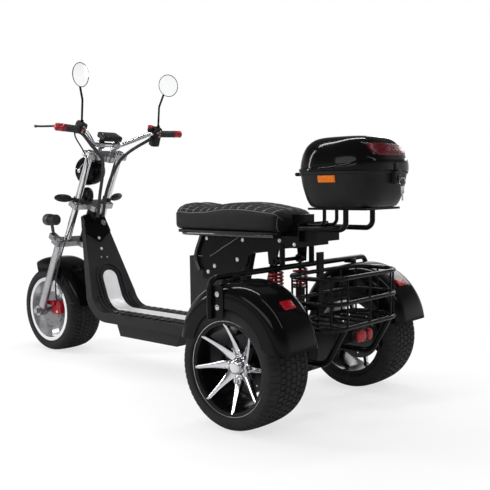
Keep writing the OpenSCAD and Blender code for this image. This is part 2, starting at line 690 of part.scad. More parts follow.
// tub and lid stations: height share, plan share
tub_shares = [[0, 0.74], [0.05, 0.8], [0.25, 0.88], [0.6, 0.95], [1, 1]];
lid_shares = [[0, 1], [0.25, 0.985], [0.5, 0.945], [0.72, 0.87], [0.87, 0.76], [0.95, 0.63], [0.99, 0.45],
  [1, 0.25]];
box_power = 3.1;
box_sides = 44;
lid_gap = 1;
lid_base = tub_top + lid_gap;
hinge_d = 14;
hinge_w = 34;
hinge_y = 70;
hinge_arm = 20;
hinge_out = 12;
hinge_pin_d = 6;
hinge_x = box_x + box_len / 2 + hinge_out;
hinge_z = tub_top - hinge_d / 2;
lid_tab_half = 44;
lid_tab_in = 16;
// heights and widths of the lens on the lid and the reflectors on the tub
lens_shares = [0.18, 0.25, 0.5, 0.66];
lens_w = 124;
reflector_shares = [0.72, 0.94];
reflector_w = 76;
patch_t = 6;
lock_w = 44;
lock_h = 46;
function rack_route(i) = let(z = pan_z + rack_rise[i], x = rack_from - rack_reach[i])
  [[rack_from, rack_y[i], z], [x, rack_y[i], z], [x, rack_y[i], box_z - rack_t - seat_gap]];
module rack() color([0.08, 0.08, 0.09]) placed() both() for (i = [0, 1])
  sweep(bent(rack_route(i), rack_bend[i]), rack_d[i], 12, [0, 1, 0]);
module rack_plate() color([0.08, 0.08, 0.09]) placed()
  translate([box_x - rack_len / 2, -rack_w / 2, box_z - rack_t])
  cube([rack_len, rack_w, rack_t]);
// cargo box rings at height z and plan share f, walls pulled in by w
function box_ring(z, f, w) = [for (p = oval(f * box_len / 2 - w, f * box_w / 2 - w, box_power, box_sides))
  [p[0], p[1], z]];
// outline of a piece lying on the box wall, following its slope between height shares
function wall_outline(levels, walls, h, half) = concat(
  [for (g = levels) [-lookup(g, walls) * half - seat_gap, g * h]],
  reversed([for (g = levels) [-lookup(g, walls) * half - patch_t, g * h]]));
module box_tub() color([0.05, 0.05, 0.055]) placed() {
  translate([box_x, 0, box_z + seat_gap]) skin(concat(
    [for (r = tub_shares) box_ring(r[0] * (tub_h - seat_gap), r[1], 0)],
    [for (r = reversed(tub_shares)) box_ring(max(r[0] * (tub_h - seat_gap), box_wall), r[1], box_wall)]));
  both() translate([hinge_x, hinge_y - hinge_w / 2, hinge_z]) rotate([-90, 0, 0])
    cylinder(h = hinge_w, d = hinge_d);
  both() translate([hinge_x - hinge_arm, hinge_y - hinge_w / 2, hinge_z - hinge_d / 2])
    cube([hinge_arm, hinge_w, hinge_d / 2]);
  translate([hinge_x, -hinge_y, hinge_z]) rotate([-90, 0, 0]) cylinder(h = 2 * hinge_y, d = hinge_pin_d);
}
module box_reflectors() color([0.95, 0.45, 0.05]) placed() both()
  translate([box_x + reflector_w / 2, 0, box_z + seat_gap]) rotate([90, 0, -90])
  linear_extrude(height = reflector_w)
  polygon(wall_outline(reflector_shares, tub_shares, tub_h - seat_gap, box_w / 2));
module box_lock() color([0.1, 0.1, 0.1]) placed()
  translate([box_x - box_len / 2 - lock_t, -lock_w / 2, tub_top - lock_h])
  cube([lock_t - seat_gap, lock_w, lock_h]);
module box_lid() color([0.05, 0.05, 0.055]) placed() difference() {
  union() {
    translate([box_x, 0, lid_base]) skin(concat(
      reversed([for (r = lid_shares) box_ring(r[0] * (lid_h - box_wall), r[1], box_wall)]),
      [for (r = lid_shares) box_ring(r[0] * lid_h, r[1], 0)]));
    translate([hinge_x, -lid_tab_half, hinge_z]) rotate([-90, 0, 0])
      cylinder(h = 2 * lid_tab_half, d = hinge_d);
    translate([hinge_x - lid_tab_in, -lid_tab_half, lid_base + eps])
      cube([lid_tab_in, 2 * lid_tab_half, hinge_d / 2]);
    translate([hinge_x - hinge_d / 4, -lid_tab_half, hinge_z]) cube([hinge_d / 2, 2 * lid_tab_half, hinge_d]);
  }
  translate([hinge_x, -lid_tab_half - eps, hinge_z]) rotate([-90, 0, 0])
    cylinder(h = 2 * lid_tab_half + 2 * eps, d = hinge_pin_d + 2 * seat_gap);
}
module lid_lens() color([0.8, 0.02, 0.02]) placed()
  translate([box_x, lens_w / 2, lid_base]) rotate([90, 0, 0]) linear_extrude(height = lens_w)
  polygon(wall_outline(lens_shares, lid_shares, lid_h, box_len / 2));

// rear fenders, hoop, basket and tail
fender_arc = 163;
fender_tail = 7;
refl_deg = 45;
refl_t = 8;
refl_w = 62;
refl_l = 38;
pad_h = 8;
pad_w = 40;
hoop_leg_z = 400;
hoop_bend = 40;
post_in = 8;
bracket_l = 56;
bracket_h = 116;
basket_shares = [0, 0.5, 1];
basket_corner = 90;
basket_bars = 1;
bar_pitch = 145;
floor_bars = 2;
floor_pitch = 72;
basket_post_l = 12;
basket_post_w = 34;
basket_post_h = 310;
basket_len = basket_back - basket_front;
lamp_t = 26;
lamp_d = 50;
lamp_half = 31;
lamp_in = 44;
lamp_drop = 20;
lamp_tab = 40;
tail_y = 150;
tail_d = 24;
tail_drop = 17;
tail_knee = 196;
tail_bend = 60;
pad_depth = 40;
pad_len = 60;
pad_wall = 14;
slot_gap = 5;
hoop_y = wheel_y + fender_w / 2 + hoop_d / 2 + seat_gap;
pad_x = hoop_x + fender_back - pad_w / 2;
pad_z = fender_z + sqrt(fender_r * fender_r - pad_x * pad_x) + seat_gap;
hoop_z = pad_z + pad_h + hoop_d / 2;
fender_steps = 6;
// line across a rear fender at an offset inside its outer face, in radius and width
function fender_side(s, off) = concat(
  [for (i = [0:fender_steps]) let(a = 90 * i / fender_steps)
    [fender_r - fender_round + (fender_round - off) * cos(a),
      s * (fender_w / 2 - fender_round + (fender_round - off) * sin(a))]],
  [[fender_r - fender_skirt, s * (fender_w / 2 - off)]]);
function fender_across(off) = concat(reversed(fender_side(-1, off)), fender_side(1, off));
module fender(s) color([0.06, 0.06, 0.065]) placed() translate([-fender_back, s * wheel_y, fender_z])
  rotate([-90, 0, 0]) rotate_extrude(angle = fender_arc, start = -180 + fender_tail, $fn = 96)
  polygon(concat(fender_across(0), reversed(fender_across(fender_t))));
module fender_left() fender(1);
module fender_right() fender(-1);
module fender_reflectors() color([0.8, 0.02, 0.02]) placed() both()
  translate([-fender_back, wheel_y, fender_z]) rotate([0, refl_deg - 90, 0])
  translate([-refl_l / 2, -refl_w / 2, fender_r + seat_gap]) cube([refl_l, refl_w, refl_t]);
module fender_hoop() color([0.05, 0.05, 0.055]) placed() {
  sweep(bent([[hoop_x, hoop_y, hoop_leg_z], [hoop_x, hoop_y, hoop_z], [hoop_x, -hoop_y, hoop_z],
    [hoop_x, -hoop_y, hoop_leg_z]], hoop_bend), hoop_d, 12, [1, 0, 0]);
  both() translate([hoop_x - pad_w / 2, wheel_y - pad_w / 2, pad_z]) cube([pad_w, pad_w, pad_h + hoop_d / 2]);
  both() translate([hoop_x, seat_box_half - plate_t / 2, hoop_z])
    cylinder(h = pan_low - rear_drop + post_in - hoop_z, d = hoop_d);
  both() translate([hoop_x - bracket_l, hoop_y - hoop_d / 2, hoop_leg_z])
    cube([bracket_l, plate_t, bracket_h]);
}
// one rounded loop of rail
module rail_loop(z, x0, x1, half, d, r) {
  for (s = sides) translate([x0 + r, s * half, z]) rotate([0, 90, 0])
    cylinder(h = x1 - x0 - 2 * r, d = d, $fn = 24);
  for (x = [x0, x1]) translate([x, half - r, z]) rotate([90, 0, 0])
    cylinder(h = 2 * half - 2 * r, d = d, $fn = 24);
  for (c = [[x1 - r, half - r, 0], [x0 + r, half - r, 90], [x0 + r, r - half, 180], [x1 - r, r - half, 270]])
    translate([c[0], c[1], z]) rotate([0, 0, c[2]]) rotate_extrude(angle = 90, $fn = 48)
    translate([r, 0]) circle(d = d, $fn = 24);
}
module basket() color([0.05, 0.05, 0.055]) placed() {
  for (f = basket_shares)
    rail_loop(basket_low + f * basket_h, -basket_back, -basket_front, basket_half, rail_d, basket_corner);
  for (x = [-basket_back, -basket_front], k = [-basket_bars:basket_bars])
    translate([x, k * bar_pitch, basket_low]) cylinder(h = basket_h, d = wire_d, $fn = 16);
  for (s = sides) translate([-(basket_back + basket_front) / 2, s * basket_half, basket_low])
    cylinder(h = basket_h, d = wire_d, $fn = 16);
  corner_in = basket_corner * (1 - cos(45));
  for (s = sides, x = [corner_in - basket_back, -corner_in - basket_front])
    translate([x, s * (basket_half - corner_in), basket_low]) cylinder(h = basket_h, d = wire_d, $fn = 16);
  for (k = [-floor_bars:floor_bars])
    translate([-basket_back, k * floor_pitch, basket_low]) rotate([0, 90, 0])
    cylinder(h = basket_len, d = wire_d, $fn = 16);
  translate([-basket_front - basket_post_l / 2, -basket_post_w / 2, tyre_r + motor_r * motor_bell_share])
    cube([basket_post_l, basket_post_w, basket_post_h]);
}
module tail_lamp() color([0.7, 0.02, 0.02]) placed()
  translate([lamp_in - basket_back, 0, basket_low - wire_d / 2 - seat_gap]) {
    for (s = sides) translate([-lamp_t, s * lamp_half, -lamp_drop - lamp_d / 2]) rotate([0, 90, 0])
      cylinder(h = lamp_t, d = lamp_d);
    translate([-lamp_t, -lamp_half, -lamp_drop - lamp_d]) cube([lamp_t, 2 * lamp_half, lamp_d]);
    translate([-plate_t, -lamp_tab / 2, -lamp_drop - lamp_d / 2])
      cube([plate_t, lamp_tab, lamp_drop + lamp_d / 2]);
  }
module tail_bar() color([0.05, 0.05, 0.055]) placed() both() sweep(bent(
  [[-axle_tube_d / 2 + plate_t, tail_y, tyre_r - tail_drop], [-tail_knee, tail_y, tyre_r - tail_drop],
  [-basket_back + rail_d / 2, tail_y, basket_low]], tail_bend), tail_d, 12, [0, 1, 0]);
module rear_calipers() color([0.15, 0.15, 0.16]) for (s = sides) rear_wheel(s) difference() {
  union() {
    translate([-rear_disc_r - pad_depth / 2, -pad_len / 2, rear_disc_y - pad_wall - slot_gap])
      cube([pad_depth, pad_len, 2 * pad_wall + 2 * slot_gap + disc_t]);
    translate([-rear_disc_r, -pad_wall, rear_disc_y - pad_wall - slot_gap])
      cube([rear_disc_r, 2 * pad_wall, pad_wall - seat_gap]);
    translate([0, 0, rear_disc_y - pad_wall - slot_gap])
      cylinder(h = pad_wall - seat_gap, d = axle_tube_d + 2 * pad_wall);
  }
  translate([0, 0, rear_disc_y - slot_gap]) cylinder(h = disc_t + 2 * slot_gap, r = rear_disc_r + slot_gap);
  translate([0, 0, rear_disc_y - pad_wall - slot_gap - eps])
    cylinder(h = pad_wall + 2 * eps, d = axle_tube_d + 2 * seat_gap);
}

// fork: yokes, tubes, legs and axle
yoke_half = 27;
yoke_rim = 11;
tube_over = 8;
fork_boss_d = 52;
fork_boss_w = 46;
nut_len = 16;
nut_r = 16;
spacer_d = 30;
lug_reach = 76;
lug_half = 17;
riser_y = 46;
riser_d = 30;
clamp_d = 40;
clamp_w = 34;
bar_s = top_yoke_s + riser_h;
module yoke_2d(half, holes) difference() {
  union() {
    translate([-yoke_half, -half]) square([2 * yoke_half, 2 * half]);
    translate([-fork_lead, 0]) circle(d = head_d);
    translate([-fork_lead, -head_d / 2]) square([fork_lead, head_d]);
  }
  for (h = holes, s = sides) translate([0, s * h[0]]) circle(d = h[1] + 2 * seat_gap);
}
module yokes() color([0.75, 0.76, 0.78]) fork() {
  translate([0, 0, low_yoke_s - yoke_t / 2]) linear_extrude(height = yoke_t) {
    yoke_2d(leg_y + leg_d / 2 + yoke_rim, [[tube_y, tube_d], [leg_y, leg_d]]);
    for (s = sides) translate([yoke_half - yoke_rim / 4, s * leg_y - lug_half])
      square([lug_reach - yoke_half, 2 * lug_half]);
  }
  for (z = [mid_yoke_s, top_yoke_s]) translate([0, 0, z - yoke_t / 2]) linear_extrude(height = yoke_t)
    yoke_2d(tube_y + tube_d / 2 + yoke_rim, [[tube_y, tube_d]]);
  translate([-fork_lead, 0, low_yoke_s]) cylinder(h = mid_yoke_s - low_yoke_s, d = stem_d);
  both() difference() {
    union() {
      translate([0, riser_y, top_yoke_s]) cylinder(h = riser_h, d = riser_d);
      translate([0, riser_y, bar_s]) rotate([90, 0, 0]) cylinder(h = clamp_w, d = clamp_d, center = true);
    }
    translate([0, riser_y, bar_s]) rotate([90, 0, 0])
      cylinder(h = clamp_w + 2 * eps, d = bar_d + 2 * seat_gap, center = true);
  }
}
module fork_tubes() color([0.85, 0.85, 0.87]) fork() both()
  translate([0, tube_y, low_yoke_s - yoke_t / 2 - tube_over])
  cylinder(h = top_yoke_s - low_yoke_s + yoke_t + 2 * tube_over, d = tube_d);
module fork_legs() color([0.6, 0.61, 0.63]) fork() both() translate([0, leg_y, 0]) difference() {
  union() {
    translate([0, 0, -leg_d / 2]) cylinder(h = low_yoke_s + yoke_t / 2 + tube_over + leg_d / 2, d = leg_d);
    rotate([90, 0, 0]) cylinder(h = fork_boss_w, d = fork_boss_d, center = true);
  }
  rotate([90, 0, 0]) cylinder(h = fork_boss_w + 2 * eps, d = axle_d + 2 * seat_gap, center = true);
}
boss_out = leg_y + fork_boss_w / 2 + seat_gap;
boss_in = leg_y - fork_boss_w / 2 - seat_gap;
module front_axle() color([0.7, 0.7, 0.72]) front_wheel() {
  translate([0, 0, -boss_out - nut_len]) cylinder(h = 2 * boss_out + 2 * nut_len, d = axle_d);
  for (s = sides) translate([0, 0, s * (boss_out + nut_len / 2)])
    cylinder(h = nut_len, r = nut_r, center = true, $fn = 6);
  for (s = sides) translate([0, 0, s * (boss_in + front_disc_y + disc_t + seat_gap) / 2])
    cylinder(h = boss_in - front_disc_y - disc_t - seat_gap, d = spacer_d, center = true);
}

// handlebar and what it carries, in the fork frame, left side
knee_pull = 55;
knee_y = 196;
knee_lift = 91;
clamp_y = 84;
bar_bend = 40;
bar_end = [-bar_pull, bar_half, bar_s + bar_lift];
bar_knee = [-knee_pull, knee_y, bar_s + knee_lift];
bar_turn = [0, clamp_y, bar_s];
bar_route = concat([bar_end, bar_knee, bar_turn], reversed(mirrored([bar_end, bar_knee, bar_turn])));
grip_dir = unit(bar_knee - bar_end);
pod_w = 34;
pod_d = 36;
pod_l = 44;
pod_h = 36;
pod_drop = 62;
pod_from = grip_len + eps;
pod_mid = bar_end + grip_dir * (pod_from + pod_w / 2);
perch_l = 38;
perch_h = 22;
lever_d = 13;
lever_reach = 97;
lever_past = 42;
lever_drop = 41;
lever_shares = [0.8, 0.45, 0.5];
display_lift = 30;
display_l = 70;
display_w = 112;
display_t = 24;
display_foot = 16;
mirror_fwd = 72;
mirror_in = 112;
mirror_up = 226;
mirror_back = 15;
mirror_turn_share = 0.25;
mirror_t = 18;
mirror_stem_d = 10;
mirror_shares = [[0, 0], [1, 0], [1, 0.5], [0.8, 0.85], [0.4, 1], [0, 1]];
glass_t = 3;
mirror_mid = bar_end + [mirror_fwd, -mirror_in, mirror_up];
mirror_knee = [mirror_mid[0] - mirror_back, pod_mid[1], mirror_mid[2] - 2 * mirror_r];
mirror_foot = pod_mid + [0, 0, pod_h + eps];
mirror_aim = unit([-cos(rake), mirror_turn_share, sin(rake)]);
module handlebar() color([0.85, 0.85, 0.87]) fork() sweep(bent(bar_route, bar_bend, 5), bar_d, 16, [1, 0, 0]);
// frame along the grip: x forward, y up, z inwards
module grip_frame() along(bar_end, bar_knee) children();
module grips() color([0.04, 0.04, 0.04]) fork() both() grip_frame() difference() {
  cylinder(h = grip_len, d = grip_d);
  translate([0, 0, -eps]) cylinder(h = grip_len + 2 * eps, d = bar_d + 2 * seat_gap);
}
// switch pod with the lever perch, the right one with a deeper housing
module pod(drop) grip_frame() translate([0, 0, pod_from]) difference() {
  union() {
    cylinder(h = pod_w, d = pod_d);
    translate([-pod_l / 2, -drop, 0]) cube([pod_l, pod_h + drop, pod_w]);
    translate([0, -perch_h + plate_t, 0]) cube([perch_l, perch_h, pod_w]);
  }
  translate([0, 0, -eps]) cylinder(h = pod_w + 2 * eps, d = bar_d + 2 * seat_gap);
}
module controls() color([0.05, 0.05, 0.05]) fork() {
  pod(0);
  mirror([0, 1, 0]) pod(pod_drop);
}
lever_root = pod_mid + [perch_l + lever_d / 2 + seat_gap, 0, -lever_d / 2];
lever_tip = bar_end + [lever_reach, lever_past, -lever_drop];
lever_mid = [for (i = [0:2]) lever_root[i] + (lever_tip[i] - lever_root[i]) * lever_shares[i]];
module brake_levers() color([0.5, 0.5, 0.52]) fork() both() {
  sweep(spline([lever_root, lever_mid, lever_tip], 5), lever_d, 8, [0, 0, 1]);
}
module display() color([0.05, 0.05, 0.05]) fork() {
  translate([-display_l / 2, -display_w / 2, bar_s + display_lift]) cube([display_l, display_w, display_t]);
  for (s = sides)
    translate([-display_foot / 2, s * riser_y - display_foot / 2, bar_s + clamp_d / 2 + seat_gap])
    cube([display_foot, display_foot, display_lift - clamp_d / 2 + plate_t]);
}
module mirrors() color([0.05, 0.05, 0.05]) fork() both() {
  sweep(bent([mirror_foot, mirror_knee, mirror_mid - mirror_aim * mirror_t], bar_bend),
    mirror_stem_d, 10, [1, 0, 0]);
  along(mirror_mid, mirror_mid - mirror_aim) difference() {
    rotate_extrude($fn = 64) polygon(scaled(mirror_shares, mirror_r, mirror_t));
    translate([0, 0, -eps]) cylinder(h = glass_t + eps, r = mirror_r - glass_t);
  }
}
module mirror_glass() color([0.8, 0.85, 0.9]) fork() both() along(mirror_mid, mirror_mid - mirror_aim)
  cylinder(h = glass_t - seat_gap, r = mirror_r - glass_t - seat_gap);

// lamps and horn on the yokes
lamp_x = 64;
lamp_below = 113;
lamp_s = top_yoke_s - lamp_below;
lamp_depth = 104;
lamp_front_share = 0.4;
lamp_shares = [[0, -0.6], [0.4, -0.57], [0.75, -0.4], [0.95, -0.1], [1, 0.25], [1, lamp_front_share],
  [0, lamp_front_share]];
lamp_arm_w = 30;
lens_t = 10;
horn_x = 52;
horn_above = 31;
horn_s = mid_yoke_s + horn_above;
horn_t = 34;
horn_arm_w = 24;
horn_shares = [[0, -1], [0.6, -1], [0.7, -0.3], [1, -0.2], [1, 0], [0.8, 0.1], [0, 0.15]];
signal_above = 30;
signal_turn = 14;
signal_from = 36;
signal_len = 88;
signal_shares = [[0, 0], [0.5, 0], [0.85, 0.16], [1, 0.42], [0.9, 0.7], [0.55, 0.93], [0, 1]];
signal_ring_d = 46;
signal_ring_h = 20;
stalk_d = 14;
spot_x = 104;
spot_above = 73;
spot_s = low_yoke_s + spot_above;
spot_len = 74;
spot_core_share = 0.7;
spot_fin_share = 0.92;
spot_rim_shares = [0.1, 0.5];
spot_foot_t = 16;
fin_t = 3;
fin_n = 5;
arm_top = top_yoke_s - yoke_t / 2 - seat_gap;
horn_foot = mid_yoke_s + yoke_t / 2 + seat_gap;
spot_base = low_yoke_s + yoke_t / 2 + seat_gap;
module headlamp() color([0.85, 0.85, 0.87]) difference() {
  union() {
    ahead(lamp_x, 0, lamp_s) rotate_extrude($fn = 64) polygon(scaled(lamp_shares, lamp_r, lamp_depth));
    fork_plate(0, lamp_arm_w) polygon([[0, arm_top], [yoke_half, arm_top],
      [lamp_x, lamp_s + lamp_r / 2], [lamp_x / 2, lamp_s + lamp_r / 2]]);
  }
  ahead(lamp_x, 0, lamp_s) translate([0, 0, lamp_depth * lamp_front_share - lens_t])
    cylinder(h = lens_t + eps, r = lamp_r - plate_t);
}
module headlamp_lens() color([0.9, 0.93, 0.95]) ahead(lamp_x, 0, lamp_s)
  translate([0, 0, lamp_depth * lamp_front_share - lens_t + seat_gap])
  cylinder(h = lens_t, r = lamp_r - plate_t - seat_gap);
module horn() color([0.7, 0.7, 0.72]) {
  ahead(horn_x, 0, horn_s) rotate_extrude($fn = 48) polygon(scaled(horn_shares, horn_r, horn_t));
  fork_plate(0, horn_arm_w) polygon([[0, horn_foot], [yoke_half - plate_t, horn_foot],
    [horn_x / 2 + plate_t, horn_s + horn_t / 3], [horn_x / 2 - plate_t, horn_s + horn_t / 3]]);
}
module turn_signals() color([0.85, 0.85, 0.87]) fork() both()
  translate([0, tube_y, mid_yoke_s + signal_above]) difference() {
    union() {
      cylinder(h = signal_ring_h, d = signal_ring_d, center = true);
      rotate([-90, 0, -signal_turn]) translate([0, 0, tube_d / 2 + seat_gap + eps])
        cylinder(h = signal_from - tube_d / 2 + stalk_d / 2, d = stalk_d);
      rotate([-90, 0, -signal_turn]) translate([0, 0, signal_from]) rotate_extrude($fn = 40)
        polygon(scaled(signal_shares, signal_r, signal_len));
    }
    cylinder(h = signal_ring_h + 2 * eps, d = tube_d + 2 * seat_gap, center = true);
  }
module spot_lamps() color([0.6, 0.61, 0.63]) both() {
  ahead(spot_x, leg_y, spot_s) rotate_extrude($fn = 48) union() {
    translate([0, -spot_len / 2]) square([spot_r * spot_core_share, spot_len]);
    for (k = [0:fin_n - 1]) translate([0, -spot_len / 2 + k * fin_t * 3])
      square([spot_r * spot_fin_share, fin_t]);
    translate([0, spot_len * spot_rim_shares[0]]) square([spot_r, spot_len * spot_rim_shares[1]]);
  }
  fork_plate(leg_y, spot_foot_t) polygon([[spot_x / 2, spot_base], [lug_reach - eps, spot_base],
    [spot_x, spot_s], [spot_x - spot_foot_t, spot_s]]);
}

// front fender and brake
front_crown_r = 207;
front_fender_half = 104;
front_fender_from = 66;
front_fender_to = 172;
stay_block = 30;
stay_s = 240;
stay_in = 8;
caliper_l = 60;
caliper_w = 62;
caliper_h = 70;
caliper_back = 80;
caliper_up_share = 0.75;
caliper_arm_h = 24;
caliper_arm_lift = 28;
caliper_arm_end = 12;
caliper_y = front_disc_y + disc_t / 2 + caliper_w / 2;
module front_fender() color([0.06, 0.06, 0.065]) {
  front_arc = front_fender_to - front_fender_from;
  front_wheel() rotate_extrude(angle = front_arc, start = -front_fender_to, $fn = 96)
    intersection() {
      difference() {
        translate([front_fender_r - front_crown_r, 0]) circle(r = front_crown_r);
        translate([front_fender_r - front_crown_r, 0]) circle(r = front_crown_r - fender_t);
      }
      translate([tyre_r, -front_fender_half]) square([front_fender_r, 2 * front_fender_half]);
    }
  fork() both() translate([-stay_block / 2, front_fender_half - stay_in, stay_s])
    cube([stay_block, leg_y - leg_d / 2 - seat_gap - front_fender_half + stay_in, stay_block]);
}
module front_caliper() color([0.75, 0.03, 0.03]) front_wheel() difference() {
  union() {
    translate([-caliper_back - caliper_l / 2, -caliper_h * caliper_up_share, caliper_y - caliper_w])
      cube([caliper_l, caliper_h, caliper_w]);
    translate([-caliper_back, -caliper_arm_lift - caliper_arm_h, caliper_y - plate_t])
      cube([caliper_back - caliper_arm_end, caliper_arm_h,
        leg_y - leg_d / 2 - seat_gap - caliper_y + plate_t]);
  }
  translate([0, 0, front_disc_y - slot_gap])
    cylinder(h = disc_t + 2 * slot_gap, r = front_disc_r + slot_gap, $fn = 64);
}

// cable routes in the fork frame, chosen by hand, heights as shares of the way up to the switch pods
loom_d = 16;
hose_d = 7;
loom_under = 23;
loom_low = mid_yoke_s - loom_under;
loom_x = [-46, -42, -42, -50, -52, -62, -80, -90];
loom_y = [232, 214, 150, 98, 64, 54, 42, 30];
loom_shares = [0.978, 0.902, 0.754, 0.641, 0.462, 0.238, 0.081, 0];
hose_low = 82;
hose_x = [-36, -36, -40, -42, -40, -40, -40, -40, -42, -44, -48, -52, -54];
hose_y = [244, 226, 170, 132, 116, 112, 114, 124, 134, 136, 130, 112, 94];
hose_shares = [0.988, 0.948, 0.885, 0.833, 0.75, 0.645, 0.541, 0.436, 0.332, 0.228, 0.123, 0.05, 0];
function route(x, y, shares, low) = [for (i = [0:len(x) - 1])
  [x[i], y[i], low + shares[i] * (pod_mid[2] - low)]];
loom_route = route(loom_x, loom_y, loom_shares, loom_low);
hose_route = route(hose_x, hose_y, hose_shares, hose_low);
module control_cables() color([0.03, 0.03, 0.03]) fork() {
  sweep(spline(loom_route, 2), loom_d, 8, [1, 0, 0]);
  sweep(spline(mirrored(loom_route), 2), loom_d, 8, [1, 0, 0]);
  sweep(spline(hose_route, 4), hose_d, 8, [1, 0, 0]);
}

frame();
swing_arm();
rear_axle();
shocks();
springs();
underdeck_box();
deck();
neck();
tread_strip();
neck_cap();
key_switch();
battery_case();
seat_box();
seat_pan();
seat_cushion();
rack();
rack_plate();
box_tub();
box_reflectors();
box_lock();
fender_left();
fender_right();
fender_reflectors();
fender_hoop();
basket();
tail_lamp();
tail_bar();
rear_calipers();
box_lid();
lid_lens();
yokes();
fork_tubes();
fork_legs();
front_axle();
handlebar();
grips();
controls();
brake_levers();
display();
mirrors();
mirror_glass();
headlamp();
headlamp_lens();
horn();
turn_signals();
spot_lamps();
front_fender();
front_caliper();
control_cables();
front_tyre();
front_rim();
front_disc();
tyre_left();
rim_left();
disc_left();
tyre_right();
rim_right();
disc_right();
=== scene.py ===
# Three-wheeled electric scooter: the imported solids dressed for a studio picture.
# Metres, X forward, Y to the rider's left, Z up, in the frame of the solids.
import bmesh
import bpy
import numpy as np
from mathutils import Matrix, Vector
from numpy import concatenate, cos, cross, linspace, pi, radians, sin


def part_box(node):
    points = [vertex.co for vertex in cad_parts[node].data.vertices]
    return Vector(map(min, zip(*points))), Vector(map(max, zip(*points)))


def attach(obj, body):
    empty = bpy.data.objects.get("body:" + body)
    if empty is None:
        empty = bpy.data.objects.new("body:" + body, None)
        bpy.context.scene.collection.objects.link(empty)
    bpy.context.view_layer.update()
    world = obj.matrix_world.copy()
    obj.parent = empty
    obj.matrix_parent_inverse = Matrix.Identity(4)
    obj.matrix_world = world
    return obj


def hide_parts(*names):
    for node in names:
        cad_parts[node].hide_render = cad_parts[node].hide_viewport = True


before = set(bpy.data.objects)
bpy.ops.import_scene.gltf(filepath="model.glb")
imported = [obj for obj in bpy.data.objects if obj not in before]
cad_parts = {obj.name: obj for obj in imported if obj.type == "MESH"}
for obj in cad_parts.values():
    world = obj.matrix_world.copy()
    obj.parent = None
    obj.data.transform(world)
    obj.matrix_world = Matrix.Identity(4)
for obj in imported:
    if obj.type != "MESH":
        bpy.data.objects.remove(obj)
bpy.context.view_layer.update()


# STUDIO
# Pale floor that fades into a white surround, with soft boxes overhead and on both sides.
# The camera stands behind the left rear wheel at chest height.
class Flow:
    """A socket that takes part in sums as a number does: each operator adds one Math node."""

    def __init__(self, tree, out=None):
        self.tree, self.out = tree, out

    def node(self, kind, settings=(), sockets=(), out=0):
        """Adds a node of any type: its settings are set first, then its sockets' values or links."""
        new = self.tree.nodes.new("ShaderNode" + kind)
        for key, value in dict(settings).items():
            setattr(new, key, value)
        for key, value in dict(sockets).items():
            if isinstance(value, Flow):
                self.tree.links.new(value.out, new.inputs[key])
            else:
                new.inputs[key].default_value = value
        return Flow(self.tree, new.outputs[out])

    def maths(self, operation, first, second=0.0):
        return self.node("Math", {"operation": operation}, {0: first, 1: second})

    def __add__(self, other):
        return self.maths("ADD", self, other)

    def __sub__(self, other):
        return self.maths("SUBTRACT", self, other)

    def __rsub__(self, other):
        return self.maths("SUBTRACT", other, self)

    def __mul__(self, other):
        return self.maths("MULTIPLY", self, other)

    __radd__, __rmul__ = __add__, __mul__

    def step(self, low, high):
        """0 below low, 1 above high and a smooth rise between them."""
        return self.node("MapRange", {"interpolation_type": "SMOOTHSTEP"},
                         {"Value": self, "From Min": low, "From Max": high})

    def wave(self, rate):
        """The sine of rate times this, moved to between 0 and 1."""
        return self.maths("SINE", self * rate) * 0.5 + 0.5

    def tint(self, low, high):
        """The colour low where this is 0 and high where it is 1."""
        return self.node("Mix", {"data_type": "RGBA"}, {0: self, 6: (*low, 1), 7: (*high, 1)}, 2)

    def bump(self, strength, distance):
        """The normal of a skin with this as its height."""
        return self.node("Bump", (), {"Strength": strength, "Distance": distance, "Height": self})

    def part(self, axis):
        """One number of a vector."""
        return self.node("SeparateXYZ", (), {0: self}, axis)

    def length(self):
        return self.node("VectorMath", {"operation": "LENGTH"}, {0: self}, "Value")

    def here(self):
        """The place on the object, in metres."""
        return self.node("TexCoord", out="Object")

    def noise(self, scale, detail, rough=0.5):
        return self.node("TexNoise", (), {"Vector": self.here(), "Scale": scale, "Detail": detail, "Roughness": rough})

    def cells(self, scale):
        """The distance from the edges of small cells."""
        return self.node("TexVoronoi", {"feature": "DISTANCE_TO_EDGE"}, {"Vector": self.here(), "Scale": scale})


def blank(name):
    """A new node material with nothing in it, and a place to start adding nodes."""
    material = bpy.data.materials.new(name)
    material.use_nodes = True
    material.node_tree.nodes.clear()
    return material, Flow(material.node_tree)


def close(material, shader):
    """Puts the shader on the material's surface."""
    end = material.node_tree.nodes.new("ShaderNodeOutputMaterial")
    material.node_tree.links.new(shader.out, end.inputs["Surface"])
    return material


def unit(v):
    """The same direction, one long."""
    return np.asarray(v, float) / np.linalg.norm(v, axis=-1, keepdims=True)


def stand(name, data, axes, spot):
    """A camera or a lamp at the spot, turned so that its own three axes are these."""
    thing = bpy.data.objects.new(name, data)
    place = np.eye(4)
    place[:3] = np.stack([*axes, spot], -1)
    thing.matrix_world = Matrix(place.tolist())
    bpy.context.collection.objects.link(thing)
    return thing


X, Y, Z = np.eye(3)
eye = np.array([-2.4642, 2.3168, 0.8492])
yaw, pitch, roll = radians([-48.4, 4.4, -0.77])
focal_pixels, picture_pixels, sensor = 743.9, 490, 36
ahead = np.array([cos(yaw) * cos(pitch), sin(yaw) * cos(pitch), -sin(pitch)])
level = cross(ahead, Z) / cos(pitch)
upright = cross(level, ahead)
right, over = cos(roll) * level + sin(roll) * upright, cos(roll) * upright - sin(roll) * level
camera = bpy.data.cameras.new("camera")
camera.sensor_width, camera.lens = sensor, sensor * focal_pixels / picture_pixels
bpy.context.scene.camera = stand("camera", camera, (right, over, -ahead), eye)
bpy.context.scene.view_settings.view_transform = "Standard"

